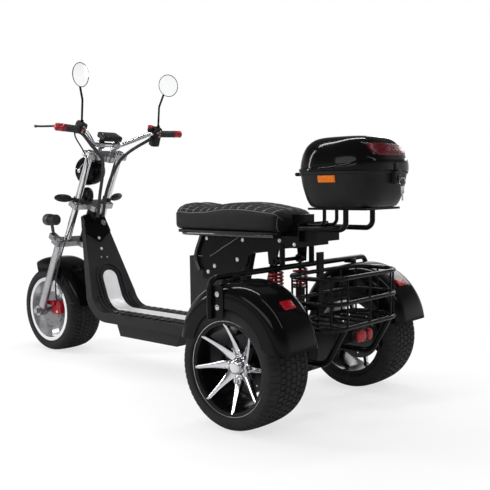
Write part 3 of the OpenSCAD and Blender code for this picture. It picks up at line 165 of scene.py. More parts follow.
world = bpy.data.worlds.new("white_surround")
bpy.context.scene.world = world
world.use_nodes = True
world.node_tree.nodes.clear()
sky = Flow(world.node_tree)
seen, glossy, through = [sky.node("LightPath", out=f"Is {kind} Ray") for kind in ("Camera", "Glossy", "Transmission")]
seen = sky.maths("MAXIMUM", seen, through)
mirrored = 1 - sky.node("TexCoord", out="Generated").part(2).step(0.06, 0.4) * 0.85
strength = seen + (1 - seen) * (glossy * mirrored + (1 - glossy) * 0.42)
background = sky.node("Background", (), {"Color": (1, 1, 1, 1), "Strength": strength})
world.node_tree.links.new(background.out, world.node_tree.nodes.new("ShaderNodeOutputWorld").inputs["Surface"])

lit_spot = (0, 0, 0.5)
soft_boxes = (("top_box", (0.3, -0.2, 3.2), (3.2, 0.16), 60), ("rear_top_box", (-2.2, -0.4, 2.9), (0.3, 2.6), 18),
              ("left_box", (-0.6, 3.6, 2.2), (3.6, 0.8), 40), ("front_box", (2.6, 2.2, 2.2), (0.16, 2.6), 60),
              ("right_box", (-0.2, -3.4, 2.0), (2.4, 0.6), 26))
for name, spot, size, watts in soft_boxes:
    lamp = bpy.data.lights.new(name, "AREA")
    lamp.shape, lamp.size, lamp.size_y, lamp.energy = "RECTANGLE", *size, watts
    back = unit(np.subtract(spot, lit_spot))
    side = unit(cross(Z, back) + 1e-6 * X)
    stand(name, lamp, (side, cross(back, side), back), spot)

corners = 20 * np.array([(-1, -1, 0), (1, -1, 0), (1, 1, 0), (-1, 1, 0)])
floor_mesh = bpy.data.meshes.new("floor")
floor_mesh.from_pydata(corners.tolist(), [], [(0, 1, 2, 3)])
floor = bpy.data.objects.new("floor", floor_mesh)
bpy.context.collection.objects.link(floor)
floor_paint, start = blank("floor_paint")
fade = (0.7 + start.here().length().step(1.2, 2.6) * 0.3) * start.node("LightPath", out="Is Camera Ray")
lit = start.node("BsdfDiffuse", (), {"Color": (0.9, 0.9, 0.9, 1)})
bright = start.node("Emission", (), {"Color": (1, 1, 1, 1), "Strength": 1.0})
floor_mesh.materials.append(close(floor_paint, start.node("MixShader", (), {0: fade, 1: lit, 2: bright})))


# FRAME, SWING ARM AND MOTOR AXLE
# Welded steel tubes and plates under black powder coat; the axle tubes and the motor housing are cast
# and bolted between the swing arm's cheeks. The solids have these shapes, so they only get their finish.
def paint(material, start, colour, rough, normal, metal=0.0, specular=0.5, more=()):
    """Closes the material with one principled surface; more holds its other sockets."""
    return close(material, start.node("BsdfPrincipled", (), {
        "Base Color": colour, "Roughness": rough, "Normal": normal, "Metallic": metal,
        "Specular IOR Level": specular, **dict(more)}))


def surface(name, colour, rough, metal=0.0, cloud=(5, 0.2), grain=(350, 0.06), rub=0.12, specular=0.5, coat=0.0):
    """Broad clouds shift the colour, clouds and a fine grain shift the roughness, and the grain gives the bump."""
    material, start = blank(name)
    broad, fine = start.noise(cloud[0], 5.0, 0.6), start.noise(grain[0], 3.0)
    low, high = [[min(1, c * (1 + way * cloud[1])) for c in colour] for way in (-1, 1)]
    shade = ((broad - 0.5) * 2.2 + 0.5).tint(low, high)
    matt = rough + (broad - 0.5) * rub + (fine - 0.5) * rub
    return paint(material, start, shade, matt, fine.bump(grain[1] * 5, 0.0004), metal, specular, {"Coat Weight": coat})


def dress(material, *nodes):
    """Gives solids a finish through their material slots."""
    for node in nodes:
        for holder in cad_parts[node].material_slots:
            holder.material = material


black_coat = surface("black_powder_coat", (0.004, 0.004, 0.0043), 0.22, grain=(520, 0.06), specular=0.1)
dress(black_coat, "frame", "swing_arm", "seat_box", "rack_plate", "basket", "fender_hoop", "rack", "tail_bar")
dress(surface("dark_cast_metal", (0.014, 0.014, 0.015), 0.5, 0.2, (9, 0.35), (420, 0.3), specular=0.2),
      "rear_axle", "rear_calipers")

# TYRES
# Wide low tyres of black rubber on twelve-inch rims, moulded with blocks on the shoulders and fine slits
# in the crown. They are seated on the rims' beads.
rear_axle_x, wheelbase, half_track, axle_z = -729.5, 1640, 373, 223


def mm(x, y, z):
    """Millimetres ahead of the rear axle, to the left and over the floor, in the frame's metres."""
    return np.stack(np.broadcast_arrays(np.asarray(x, float) + rear_axle_x, y, z), -1) / 1000


def round_axle(centre, radius, turn, across):
    """Points at a radius and a turn up from straight ahead round a line through the centre, and along that line."""
    return mm(centre[0] + radius * cos(turn), centre[1] + across, centre[2] + radius * sin(turn))


def piece(name, grids, body, materials, replaces=(), crease=35):
    """One object from grids of points, each (rows, columns, 3), alone or with the number of its material.
    Neighbouring rows and columns span faces; doubled points at seams and poles are merged, faces turned out."""
    points, faces, which, way, first = [], [], [], [], 0
    for grid in grids:
        grid, number = grid if isinstance(grid, tuple) else (grid, 0)
        n, k = grid.shape[:2]
        corner = first + np.arange(n * k).reshape(n, k)[:-1, :-1]
        faces.append(np.stack([corner, corner + 1, corner + k + 1, corner + k], -1).reshape(-1, 4))
        which.append(np.full(len(faces[-1]), number))
        share = np.stack(np.meshgrid(linspace(0, 1, k), linspace(0, 1, n)), -1).reshape(-1, 2)
        way.append(share[(faces[-1] - first).ravel()])
        points.append(grid.reshape(-1, 3))
        first += n * k
    mesh = bpy.data.meshes.new(name)
    mesh.from_pydata(concatenate(points).tolist(), [], concatenate(faces).tolist())
    mesh.polygons.foreach_set("material_index", concatenate(which).astype(np.int32))
    mesh.uv_layers.new(name="way").data.foreach_set("uv", concatenate(way).ravel())
    work = bmesh.new()
    work.from_mesh(mesh)
    bmesh.ops.remove_doubles(work, verts=work.verts, dist=1e-6)
    bmesh.ops.dissolve_degenerate(work, edges=work.edges, dist=1e-7)
    bmesh.ops.recalc_face_normals(work, faces=work.faces)
    work.to_mesh(mesh)
    work.free()
    mesh.polygons.foreach_set("use_smooth", np.ones(len(mesh.polygons), bool))
    mesh.set_sharp_from_angle(angle=radians(crease))
    for material in materials if isinstance(materials, list) else [materials]:
        mesh.materials.append(material)
    made = bpy.data.objects.new(name, mesh)
    bpy.context.collection.objects.link(made)
    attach(made, body)
    if replaces:
        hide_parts(*replaces)
    return made


# share of the half width, radius, block groove, slit: one half from the crown to the bead
tread_rows = np.array([
    (0, 223, 1, 0), (0.1, 223, 1, 0), (0.12, 222.8, 0.6, 0), (0.135, 218, 0, 0), (0.155, 218, 0, 0),
    (0.17, 222.7, 0, 0.6), (0.19, 222.7, 0, 1), (0.35, 222.3, 0, 1), (0.37, 222, 0, 0.6), (0.385, 217.4, 0, 0),
    (0.405, 217.2, 0, 0), (0.42, 221.7, 0.6, 0), (0.44, 221.6, 1, 0), (0.6, 220.6, 1, 0), (0.62, 220.2, 0.6, 0),
    (0.635, 216.6, 0, 0), (0.65, 216.4, 0, 0), (0.665, 219.6, 0, 0.5), (0.76, 217.9, 0, 0.6), (0.86, 214.4, 0, 0.6),
    (0.94, 208.6, 0, 0.5), (0.98, 201.5, 0, 0.3), (0.99, 198.5, 0, 0), (1, 190, 0, 0), (1, 182, 0, 0),
    (0.985, 175, 0, 0), (0.94, 170.6, 0, 0), (0.89, 168.9, 0, 0), (0.84, 160, 0, 0), (0, 160, 0, 0)])
# way through one tread pitch, block groove, slit
tread_marks = np.array([(0, 0, 0), (0.04, 1, 0), (0.26, 1, 0), (0.3, 0, 0), (0.48, 0, 0), (0.52, 0, 1), (0.68, 0, 1),
                        (0.72, 0, 0)])
pitches, groove_deep, slit_deep, carcass = 62, 4.6, 3.6, 180


def tyre(centre, half):
    """Rows run across the tyre, marks round it; a point sinks towards the carcass where its row and its mark
    both ask for a groove, and the halves are shifted against each other by half a pitch."""
    rows = concatenate([tread_rows[::-1] * (-1, 1, 1, 1), tread_rows[1:]])
    share, radius, lug, cut = rows.T[:, :, None]
    marks = np.tile(tread_marks[:, 1:], (pitches, 1))
    way = (np.arange(pitches)[:, None] + tread_marks[:, 0]).ravel() / pitches
    way, marks = np.append(way, 1), concatenate([marks, marks[:1]])
    sink = groove_deep * lug * marks[:, 0] + slit_deep * cut * marks[:, 1]
    inward = np.stack([np.sign(share) * 0.45 - share, (carcass - radius) / half], 0)
    inward = inward / np.linalg.norm(inward, axis=0)
    turn = 2 * pi * (way + np.clip(share / 0.3, -1, 1) * 0.25 / pitches)
    return round_axle(centre, radius + inward[1] * sink, pi / 2 - turn, share * half + inward[0] * sink)


rubber = surface("tyre_rubber", (0.019, 0.019, 0.0195), 0.66, 0.0, (14, 0.35), (700, 0.3), 0.2, 0.1)
front_axle = (wheelbase, 0, axle_z)
wheels = (("front", "front_wheel", front_axle, 98, "front_tyre"),
          ("left", "rear_wheel_left", (0, half_track, axle_z), 103, "tyre_left"),
          ("right", "rear_wheel_right", (0, -half_track, axle_z), 103, "tyre_right"))
for name, body, centre, half, node in wheels:
    piece("tread_" + name, [tyre(centre, half)], body, rubber, [node], 30)


# RIMS, DISCS AND WHEEL NUTS
# Cast alloy: the rear rims are deep black barrels with a bright edge and slender polished spokes that run in to a
# sunk hub, the front one is polished all over. Domed nuts hold them on the hubs, and the discs are ground steel; the
# rear ones get a darker grey as painted shade inside their wheels.
def turned(name, centre, bright, rough, metal=1.0):
    """Clouded metal with fine rings round the axle, as the tool leaves them."""
    material, start = blank(name)
    off = start.node("Mapping", (), {"Vector": start.here(), "Location": tuple(-mm(*centre))})
    off = start.node("VectorMath", {"operation": "MULTIPLY"}, {0: off, 1: (1, 0, 1)})
    clouds = start.noise(30.0, 4.0)
    return paint(material, start, (clouds * 0.6 + 0.2).tint([c * 0.85 for c in bright], bright),
                 rough + (clouds - 0.5) * 0.2, off.length().wave(4200).bump(0.12, 0.0002), metal, 0.3)


def lathe(outline, origin, axis, sides=48, first=None, flat=1.0):
    """An outline of radius and way along the axis in millimetres, turned once round the axis through origin from
    the direction first; flat presses it square to that."""
    axis = unit(axis)
    first = unit(cross(Z if abs(axis[2]) < 0.9 else X, axis)) if first is None else first
    turn = linspace(0, 2 * pi, sides + 1)[:, None]
    ring = cos(turn) * first + flat * sin(turn) * cross(axis, first)
    radius, along = np.asarray(outline, float).T[:, :, None, None] / 1000
    return np.asarray(origin) + radius * ring + along * axis


def shell(face, back):
    """A wall between two grids of points: their edges are joined all round."""
    middle = (face + back) / 2
    rings = [concatenate([a, b[:, ::-1], a[:, :1]], 1) for a, b in ((middle, middle), (face, back))]
    return concatenate([rings[0][:1], rings[1], rings[0][-1:]])


def spoke(centre, side, angle):
    """Share of the length and share of the width: a bar that tapers from the hub to the lip, swept a little, its
    outer face raised to a blunt ridge."""
    along, across = linspace(0, 1, 29)[:, None], linspace(-1, 1, 15)
    radius, half = 30 + 128 * along, 6.5 + 4 * (1 - along) + 10 * (1 - along) ** 2.6
    ridge = (4 - along) * (1 - np.abs(across) ** 1.8)
    face = 31 + 57 * along ** 1.2 + ridge
    turn = angle - side * radians(6) * along ** 0.85
    c, s = cos(turn), sin(turn)
    return shell(*[mm(centre[0] + radius * c - half * across * s, centre[1] + side * depth,
                      centre[2] + radius * s + half * across * c) for depth in (face, face - ridge - 16)])


chrome = surface("chrome_plate", (0.6, 0.6, 0.62), 0.08, 1.0, (16, 0.08), (60, 0.02), 0.05)
rim_black = surface("rim_black", (0.004, 0.004, 0.0043), 0.16, grain=(300, 0.05), specular=0.14)
barrel_shape = [(168, -92), (150, -92), (150, -60), (147, -44), (147, 48), (150, 76), (153, 88), (160, 90.4),
                (166.9, 91), (166.9, 85), (158, 85), (158, -85), (168, -85), (168, -92)]
edge_shape = [(166.8, 90.4), (167.2, 91.6), (168.2, 92), (168.8, 91), (168.8, 86), (166.8, 86), (166.8, 90.4)]
hub_shape = [(0, 30), (34, 30), (44, 26), (48, 18), (48, 4.5), (0, 4.5)]
cap_shape = [(0, 61), (16, 60.6), (22, 59), (24.6, 56), (25, 52), (25.6, 40), (30, 33), (30, 26), (0, 26)]
pocket_shape = [(10.5, 34), (11, 43), (14, 44), (16.5, 42), (17, 30), (17, 20), (10.5, 20), (10.5, 34)]
nut_shape = [(0, 40), (4, 39.6), (7, 37.6), (8.6, 34), (8.6, 22), (0, 22)]
spokes, nuts, nut_circle = 8, 4, 50.8
for name, body, centre, *_ in wheels[1:]:
    # The rear discs' darker grey (0.06 against 0.2 at the front) is painted shade inside the wheels.
    dress(turned("ground_disc_" + name, centre, (0.06, 0.06, 0.064), 0.45), "disc_" + name)
    side, middle = np.sign(centre[1]), mm(*centre)
    lugs = [round_axle(centre, nut_circle, 2 * pi * k / nuts, 0) for k in range(nuts)]
    parts = [(lathe(barrel_shape, middle, side * Y, 128), 0), (lathe(edge_shape, middle, side * Y, 128), 1),
             (lathe(hub_shape, middle, side * Y), 0), (lathe(cap_shape, middle, side * Y), 1)]
    parts += [(spoke(centre, side, 2 * pi * k / spokes), 1) for k in range(spokes)]
    parts += [(lathe(pocket_shape, lug, side * Y, 28), 1) for lug in lugs]
    piece("wheel_" + name, parts, body, [rim_black, chrome], ["rim_" + name])
    piece("wheel_nuts_" + name, [lathe(nut_shape, lug, side * Y, 12) for lug in lugs], body, chrome)
dress(turned("polished_front_rim", front_axle, (0.78, 0.78, 0.8), 0.2, 0.85), "front_rim")
dress(turned("ground_disc_front", front_axle, (0.2, 0.2, 0.21), 0.35), "front_disc")
dress(surface("axle_steel", (0.35, 0.35, 0.37), 0.3, 1.0, grain=(300, 0.1)), "front_axle")


# SPRINGS AND DAMPERS
# Two coil springs of red enamelled wire round black dampers, between the axle and the seat box.
def tube(route, radius, sides=16, up=Z, ends=True):
    """A circle carried along a route of points in metres, square to it; the ends are closed flat."""
    route = np.asarray(route, float)
    way = unit(np.gradient(route, axis=0))
    first = unit(cross(np.broadcast_to(up, way.shape), way))
    turn = linspace(0, 2 * pi, sides + 1)[:, None]
    ring = cos(turn) * first[:, None] + sin(turn) * cross(way, first)[:, None]
    radius = np.broadcast_to(np.asarray(radius, float), len(route))[:, None, None] / 1000
    skin = route[:, None] + radius * ring
    middle = [np.repeat(route[i][None, None], sides + 1, 1) for i in (0, -1)]
    return concatenate([middle[0], skin, middle[1]]) if ends else skin


spring_red = surface("red_enamel", (0.26, 0.004, 0.012), 0.26, cloud=(20, 0.25), specular=0.3)
dress(surface("damper_paint", (0.01, 0.01, 0.011), 0.3, grain=(300, 0.1), specular=0.2), "shocks")
low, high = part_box("springs")
coil_turns, wire = 5.25, 0.0046
coil = linspace(0, 1, 320)
turn = 2 * pi * coil_turns * coil
reach = (high[0] - low[0]) / 2 - wire
x, z = (high[0] + low[0]) / 2 + reach * cos(turn), low[2] + wire + coil * (high[2] - low[2] - 2 * wire)
coils = [tube(np.stack([x, side * (high[1] - reach - wire) + reach * sin(turn), z], -1), 4.4, 10) for side in (1, -1)]
piece("coil_springs", coils, "chassis", spring_red, ["springs"], 60)

# DECK, NECK AND TREAD STRIP
# The floor and the neck are one charcoal moulding with rounded ribs, and slanting bars for the feet on both sides of
# a satin aluminium strip with fine cross lines; a glossy cap closes the neck's top, and screws hold the neck.
charcoal = surface("charcoal_moulding", (0.0125, 0.0125, 0.013), 0.38, 0.0, (7, 0.25), (900, 0.3), 0.15, 0.13)
gloss_black = surface("gloss_black_moulding", (0.003, 0.003, 0.0032), 0.1, 0.0, (6, 0.3), (90, 0.015), 0.05, 0.1)
dress(charcoal, "underdeck_box", "neck", "battery_case", "deck")
dress(gloss_black, "neck_cap")
dress(chrome, "key_switch")
strip_metal, start = blank("satin_strip")
here, clouds = start.here(), start.noise(25.0, 4.0)
paint(strip_metal, start, clouds.tint((0.82, 0.82, 0.84), (0.95, 0.95, 0.97)), 0.3 + clouds * 0.2,
      (here.part(0) + here.part(2)).wave(1400).bump(0.25, 0.0005), 0.6)
dress(strip_metal, "tread_strip")
zinc = surface("zinc_bolts", (0.6, 0.6, 0.59), 0.3, 0.9, (60, 0.15), (500, 0.15))


def bolts(name, body, rows):
    """Domed bolt heads on washers, each from its seat, its direction and its radius in millimetres."""
    head = np.array([(0, 0.78), (0.35, 0.76), (0.7, 0.62), (0.92, 0.36), (1, 0.2), (1, 0.12), (1.45, 0.12),
                     (1.5, 0.02), (1.5, -0.05), (0, -0.05)])
    return piece(name, [lathe(head * r, seat, way, 20) for seat, way, r in rows], body, zinc)


neck_lean = radians(21)
up_neck = np.array([sin(neck_lean), 0, cos(neck_lean)])
off_neck = np.array([-cos(neck_lean), 0, sin(neck_lean)])
# way up the neck, to the left, off its face, radius
screws = [(mm(1199.7, y, 332.6) + (rise * up_neck + off * off_neck) / 1000, off_neck, r)
          for rise, y, off, r in ((292, 7, 6.4, 5.5), (237, 4.5, 0.2, 5.5), (194, 18, 0.2, 2.6), (191, -17, 0.2, 2.6))]
bolts("neck_screws", "chassis", screws)


def block(size, corner, edge, origin, ex=X, ey=Y, steps=5):
    """A block on origin: a rectangle with round corners, drawn in at foot and top by a quarter-round edge.
    The size in millimetres runs along ex, ey and up from them."""
    a = linspace(0, pi / 2, steps)
    inset = concatenate([edge * (1 - sin(a)), edge * (1 - sin(a[::-1]))])
    rise = concatenate([edge * (1 - cos(a)), size[2] - edge * (1 - cos(a[::-1]))])
    turn = np.append((a + np.arange(4)[:, None] * pi / 2).ravel(), 0)
    sign = [np.append(np.repeat(k, steps), 1) for k in ((1, -1, -1, 1), (1, 1, -1, -1))]
    x = sign[0] * (size[0] / 2 - corner) + (corner - inset)[:, None] * cos(turn)
    y = sign[1] * (size[1] / 2 - corner) + (corner - inset)[:, None] * sin(turn)
    x, y = [concatenate([0 * k[:1], k, 0 * k[:1]]) for k in (x, y)]
    rise = concatenate([rise[:1], rise, rise[-1:]])[:, None]
    ex, ey = unit(ex), unit(ey)
    return origin + (x[..., None] * ex + y[..., None] * ey + rise[..., None] * cross(ex, ey)) / 1000


bar_lean, bar_pitch = radians(-17), 46
bar_ahead = np.array([cos(bar_lean), -sin(bar_lean), 0])
bar_across = np.array([sin(bar_lean), cos(bar_lean), 0])
foot_bars = [block((20, 64, 8), 4, 2, mm(x, side * 83, 260.5), bar_ahead, bar_across)
             for x in np.arange(694, 1080, bar_pitch) for side in (1, -1)]
foot_grip = surface("ribbed_foot_grip", (0.024, 0.024, 0.0246), 0.5, grain=(600, 0.3), specular=0.2)
piece("deck_foot_bars", foot_bars, "chassis", foot_grip)


# SEAT
# A foam cushion sewn into black imitation leather on a plastic pan: plain upright sides, a corded seam along the
# edge and a top quilted in squares with grey thread that rises to a front and a rear hump. The same light cord run up
# both rear corners is a painted highlight on the rounded corner.
def curve(points, n):
    """A smooth line through points: between two of them a cubic that leaves along the line of its neighbours."""
    p = np.asarray(points, float)
    p = concatenate([2 * p[:1] - p[1:2], p, 2 * p[-1:] - p[-2:-1]])
    t = linspace(0, len(p) - 3, n)
    i = np.minimum(t.astype(int), len(p) - 4)
    t = (t - i)[:, None]
    a, b, c, d = p[i], p[i + 1], p[i + 2], p[i + 3]
    return b + (c - a) / 2 * t + (a - 2.5 * b + 2 * c - d / 2) * t ** 2 + (1.5 * b - a / 2 - 1.5 * c + d / 2) * t ** 3


def signed(base, power):
    """The power of the size, with the sign kept."""
    return np.sign(base) * np.abs(base) ** power


# share of the length from the rear, share of the half width, share of the height, seam's angle up from the side
seat_rows = curve([
    (0, 0.9, 0.77, 30), (0.05, 0.93, 0.8, 29), (0.12, 0.97, 0.86, 27), (0.22, 0.99, 0.945, 25), (0.33, 1, 1, 24),
    (0.43, 1, 1, 23), (0.52, 0.99, 0.975, 20), (0.61, 0.98, 0.92, 18), (0.69, 0.97, 0.9, 17), (0.77, 0.96, 0.925, 13),
    (0.85, 0.94, 0.985, 11), (0.91, 0.92, 1, 12), (1, 0.9, 0.96, 14)], 160)
seat_rear, seat_long, seat_half, seat_tall, pan_top = 55, 595, 134, 57, 675
quilt_cell, quilt_lanes, quilt_deep = 42.0, 8, 3.4


def seat_row(u, k):
    """One column of the seat's rows at share u of the length."""
    return np.interp(u, seat_rows[:, 0], seat_rows[:, k])


def seat_skin(u, v, quilt=quilt_deep):
    """Share u of the length and turn v round it: an oval with a square foot, its half width and height from the
    rows, drawn in at both ends; over the seams the top is pressed down along cross lines and lanes."""
    nose, tail = np.clip(2 * u - 1, 0, 1), np.clip(1 - 2 * u, 0, 1)
    ends = np.maximum(nose, tail)
    half = seat_row(u, 1) * seat_half * (1 - nose ** 9 - tail ** 40) ** 0.25
    tall = seat_row(u, 2) * seat_tall * (1 - nose ** 14 - tail ** 40) ** (1 / 3)
    c, s = cos(v), sin(v)
    power = np.where(s > 0, 2 / 3.0, 2 / 5.5)
    x, y, z = seat_rear + seat_long * u + 0 * v, half * signed(c, power), tall * signed(s, power)
    seam = radians(seat_row(u, 3))
    lane = (v - seam) / (pi - 2 * seam)
    top = np.clip(lane * 12, 0, 1) * np.clip((1 - lane) * 12, 0, 1) * np.clip((1 - ends) / 0.06, 0, 1)
    cross_line = (0.5 - np.abs(x / quilt_cell % 1 - 0.5)) * quilt_cell
    lane_line = (0.5 - np.abs(lane * quilt_lanes % 1 - 0.5)) * 300 / quilt_lanes
    sink = quilt * (np.exp(-(np.minimum(cross_line, lane_line) / 4.5) ** 2) - 0.3) * top
    return mm(x, y, pan_top + tall + z - sink)


ease = linspace(0, 1, 240)
u, v = np.meshgrid(ease - 0.14 * sin(2 * pi * ease), linspace(0, 2 * pi, 145), indexing="ij")
leather, start = blank("black_imitation_leather")
clouds = start.noise(12.0, 5.0)
paint(leather, start, clouds.tint((0.007, 0.007, 0.0073), (0.013, 0.013, 0.0134)), 0.44 + (clouds - 0.5) * 0.25,
      start.cells(520.0).step(0, 0.25).bump(0.35, 0.0006), 0.0, 0.1, {"Sheen Weight": 0.02})
cushion = piece("seat_cover", [seat_skin(u, v)], "chassis", leather, ["seat_cushion"], 70)
piping_and_painted_highlight = surface("seam_cord_and_painted_highlight", (0.08, 0.08, 0.082), 0.45, grain=(700, 0.3))
run, over = linspace(0.004, 0.996, 160), linspace(0, 1, 60)
edge = radians(seat_row(run, 3))
seam_and_highlight_cords = [tube(seat_skin(run, turn, 0), 1.8, 8) for turn in (edge, pi - edge)]
# The light cords run up both rear corners are a painted highlight on the rounded corner, not a seam of the cover.
corner = linspace(radians(-56), edge[2], 30)
seam_and_highlight_cords += [tube(seat_skin(np.full(30, 0.012), turn, 0), 1.6, 8, X) for turn in (corner, pi - corner)]
piece("seat_seams_and_highlight_cords", seam_and_highlight_cords, "chassis", piping_and_painted_highlight, (), 60)
thread = surface("grey_thread", (0.34, 0.34, 0.35), 0.6, grain=(900, 0.3))
stitches = []
for x in np.arange(2 * quilt_cell, 640, quilt_cell):
    share = np.full(60, (x - seat_rear) / seat_long)
    low = radians(seat_row(share, 3))
    stitches.append(tube(seat_skin(share, low + (pi - 2 * low) * over), 0.9, 6, X))
for lane in np.arange(1, quilt_lanes) / quilt_lanes:
    stitches.append(tube(seat_skin(run, edge + (pi - 2 * edge) * lane)[6:-6], 0.9, 6))
piece("seat_stitches", stitches, "chassis", thread, (), 60)
dress(surface("seat_pan_plastic", (0.007, 0.007, 0.0073), 0.35, grain=(800, 0.25), specular=0.2), "seat_pan")


# SEAT BOX TRIM
# Bent round bars welded along the front edges of the box's side plates, a thin brace across them and a rail bent
# round the seat's foot, all black, with zinc bolts through the plates.
def bent(points, radius, steps=9):
    """A line of straight runs whose inner corners are rounded by arcs of one radius, in the points' own unit."""
    p = np.asarray(points, float)
    line = [p[:1]]
    for a, b, c in zip(p[:-2], p[1:-1], p[2:]):
        come, go = unit(b - a), unit(c - b)
        angle = np.arccos(np.clip(come @ go, -1, 1))
        inward = unit(go - (come @ go) * come)
        turn = linspace(0, angle, steps)[:, None]
        centre = b - come * radius * np.tan(angle / 2) + radius * inward
        line.append(centre + radius * (come * sin(turn) - inward * cos(turn)))
    return concatenate(line + [p[-1:]])


flip = np.array([1, -1, 1])


def both(grids):
    """The pieces of the left side and their mirror images on the right."""
    return grids + [(g[0] * flip, g[1]) if isinstance(g, tuple) else g * flip for g in grids]


front_x, front_z = curve([(474, 652), (486, 626), (503, 590), (509, 560), (500, 530), (484, 506)], 40).T
rail = bent([(x, y, pan_top - 15) for x, y in ((70, 114), (612, 114), (612, -114), (70, -114))], 70, 12)
trim = both([tube(mm(front_x, 103, front_z), 9, 16, Y),
             tube(mm(linspace(430, 262, 8), 97.5, linspace(566, 655, 8)), 3, 10, Y)])
bright_black = surface("bright_black_enamel", (0.006, 0.006, 0.0063), 0.2, grain=(420, 0.06), specular=0.55)
piece("seat_box_bars", trim + [tube(mm(*rail.T), 7.5)], "chassis", bright_black, (), 60)
plate_face = 96.1
plate_bolts = [(mm(x, side * plate_face, z), side * Y, 5) for side in (1, -1)
               for x, z in ((452, 640), (250, 640), (60, 645), (-12, 632))]
plate_bolts += [(mm(x, plate_face, z), Y, 5.5) for x, z in ((408, 526), (446, 500), (280, 560))]
bolts("seat_box_bolts", "chassis", plate_bolts)

# RACK AND CARGO BOX
# Steel tubes bent up from the seat box carry a flat plate, and on it stands a moulded box: a satin tub with a rim,
# a glossy domed lid hinged at the front, a red lens, amber side reflectors and a latch with its key.
rack_front, plate_low = -34.3, 764.7
rack_tubes = []
for y, reach, rise, radius, bend in ((89, 206, 18, 10, 30), (40, 78, 29, 7, 24)):
    line = bent([(rack_front, y, pan_top + rise), (rack_front - reach, y, pan_top + rise),
                 (rack_front - reach, y, plate_low)], bend)
    rack_tubes.append(tube(mm(*line.T), radius, 20, Y))
piece("rack_tubes", both(rack_tubes), "chassis", black_coat, ["rack"])

box_middle, box_half, box_power, tub_foot, lid_foot = -216, (172, 178), 2 / 3.1, 773.3, 904
box_turn = linspace(0, 2 * pi, 145)


def on_box(height, share, off, turn):
    """Points on a rounded square of that share of the box's plan, pushed outward by off."""
    return mm(box_middle + (share * box_half[0] + off) * signed(cos(turn), box_power),
              (share * box_half[1] + off) * signed(sin(turn), box_power), height)


def box_skin(*rows):
    """Rows of height, plan share and outward offset, each once round the box."""
    return on_box(*concatenate(rows).T[:, :, None], box_turn)


def rounded(rows, base, rise, n=40):
    """Rows of height share and plan share drawn as a smooth line."""
    line = curve(rows, n)
    return np.stack([base + np.clip(line[:, 0], 0, 1) * rise, line[:, 1], np.zeros(n)], -1)


satin_black = surface("satin_black_moulding", (0.0125, 0.0125, 0.013), 0.34, 0.0, (8, 0.3), (620, 0.2), 0.12, 0.1)
tub_wall = rounded([(0, 0.7), (0.012, 0.755), (0.06, 0.81), (0.25, 0.88), (0.6, 0.95), (0.9, 0.985)], tub_foot, 129.7)
tub_rim = [(892, 0.988, 0.5), (893.5, 0.99, 3.4), (901.6, 0.995, 4), (903, 0.995, 3), (903, 0.995, -4)]
tub = box_skin([(tub_foot, 0, 0)], tub_wall, tub_rim, tub_wall[::-1] + (4, 0, -4), [(tub_foot + 4, 0, 0)])
piece("box_tub_shell", [tub], "chassis", satin_black, (), 40)
lid_dome = rounded([(0.11, 0.995), (0.25, 0.985), (0.5, 0.945), (0.72, 0.87), (0.87, 0.76), (0.95, 0.63), (0.99, 0.42),
                    (1, 0.2), (1, 0)], lid_foot, 126, 56)
lid_rim = [(lid_foot, 0.995, -4), (lid_foot, 0.998, 3.4), (905.2, 1, 4.2), (913.5, 0.999, 4), (915, 0.997, 2.6),
           (915.6, 0.996, 0.4)]
lid = box_skin(lid_dome[::-1] * (1, 0.975, 1) - (4, 0, 0), lid_rim, lid_dome)
piece("box_lid_shell", [lid], "lid", gloss_black, (), 40)
from_front = np.degrees(np.abs((box_turn + pi) % (2 * pi) - pi))
band_foot = 905.5
band_top = np.interp(from_front, [0, 85, 110, 140, 165, 180], [914, 916, 928, 952, 945, 941])
band_rise = linspace(0, 1, 17)[:, None]
band_height = band_foot + band_rise * (band_top - band_foot)
band_share = np.interp(band_height, lid_dome[:40, 0], lid_dome[:40, 1])
band_off = np.where(band_rise < 1, 5.2 * (1 - band_rise ** 5) ** 0.5, 0)
band = shell(*[on_box(band_height, band_share, off, box_turn) for off in (band_off, -1)])
piece("box_lid_band", [band], "lid", gloss_black, (), 40)


def box_pad(rows, middle, reach, thick, n=33):
    """A pad on the box wall between rows of height, plan share and width share: its outer face swells by thick
    and runs out to a rounded edge, its back lies on the wall."""
    height, share, width = curve(rows, n).T[:, :, None]
    across, along = linspace(-1, 1, 41), linspace(-1, 1, n)[:, None]
    swell = 0.4 + thick * (1 - np.abs(across) ** 8) ** 0.5 * (1 - np.abs(along) ** 8) ** 0.5
    return shell(*[on_box(height, share, off, middle + reach * width * across) for off in (swell, 0.3)])


def lens_plastic(name, colour, scale):
    """Clear-coated coloured plastic with a moulded net of small prisms under the skin."""
    material, start = blank(name)
    depth = start.cells(scale).step(0, 0.3)
    return paint(material, start, depth.tint([c * 0.6 for c in colour], colour), 0.16 + depth * 0.12,
                 depth.bump(0.25, 0.0006), 0.0, 0.15, {"Coat Weight": 0.1, "Coat Roughness": 0.04})


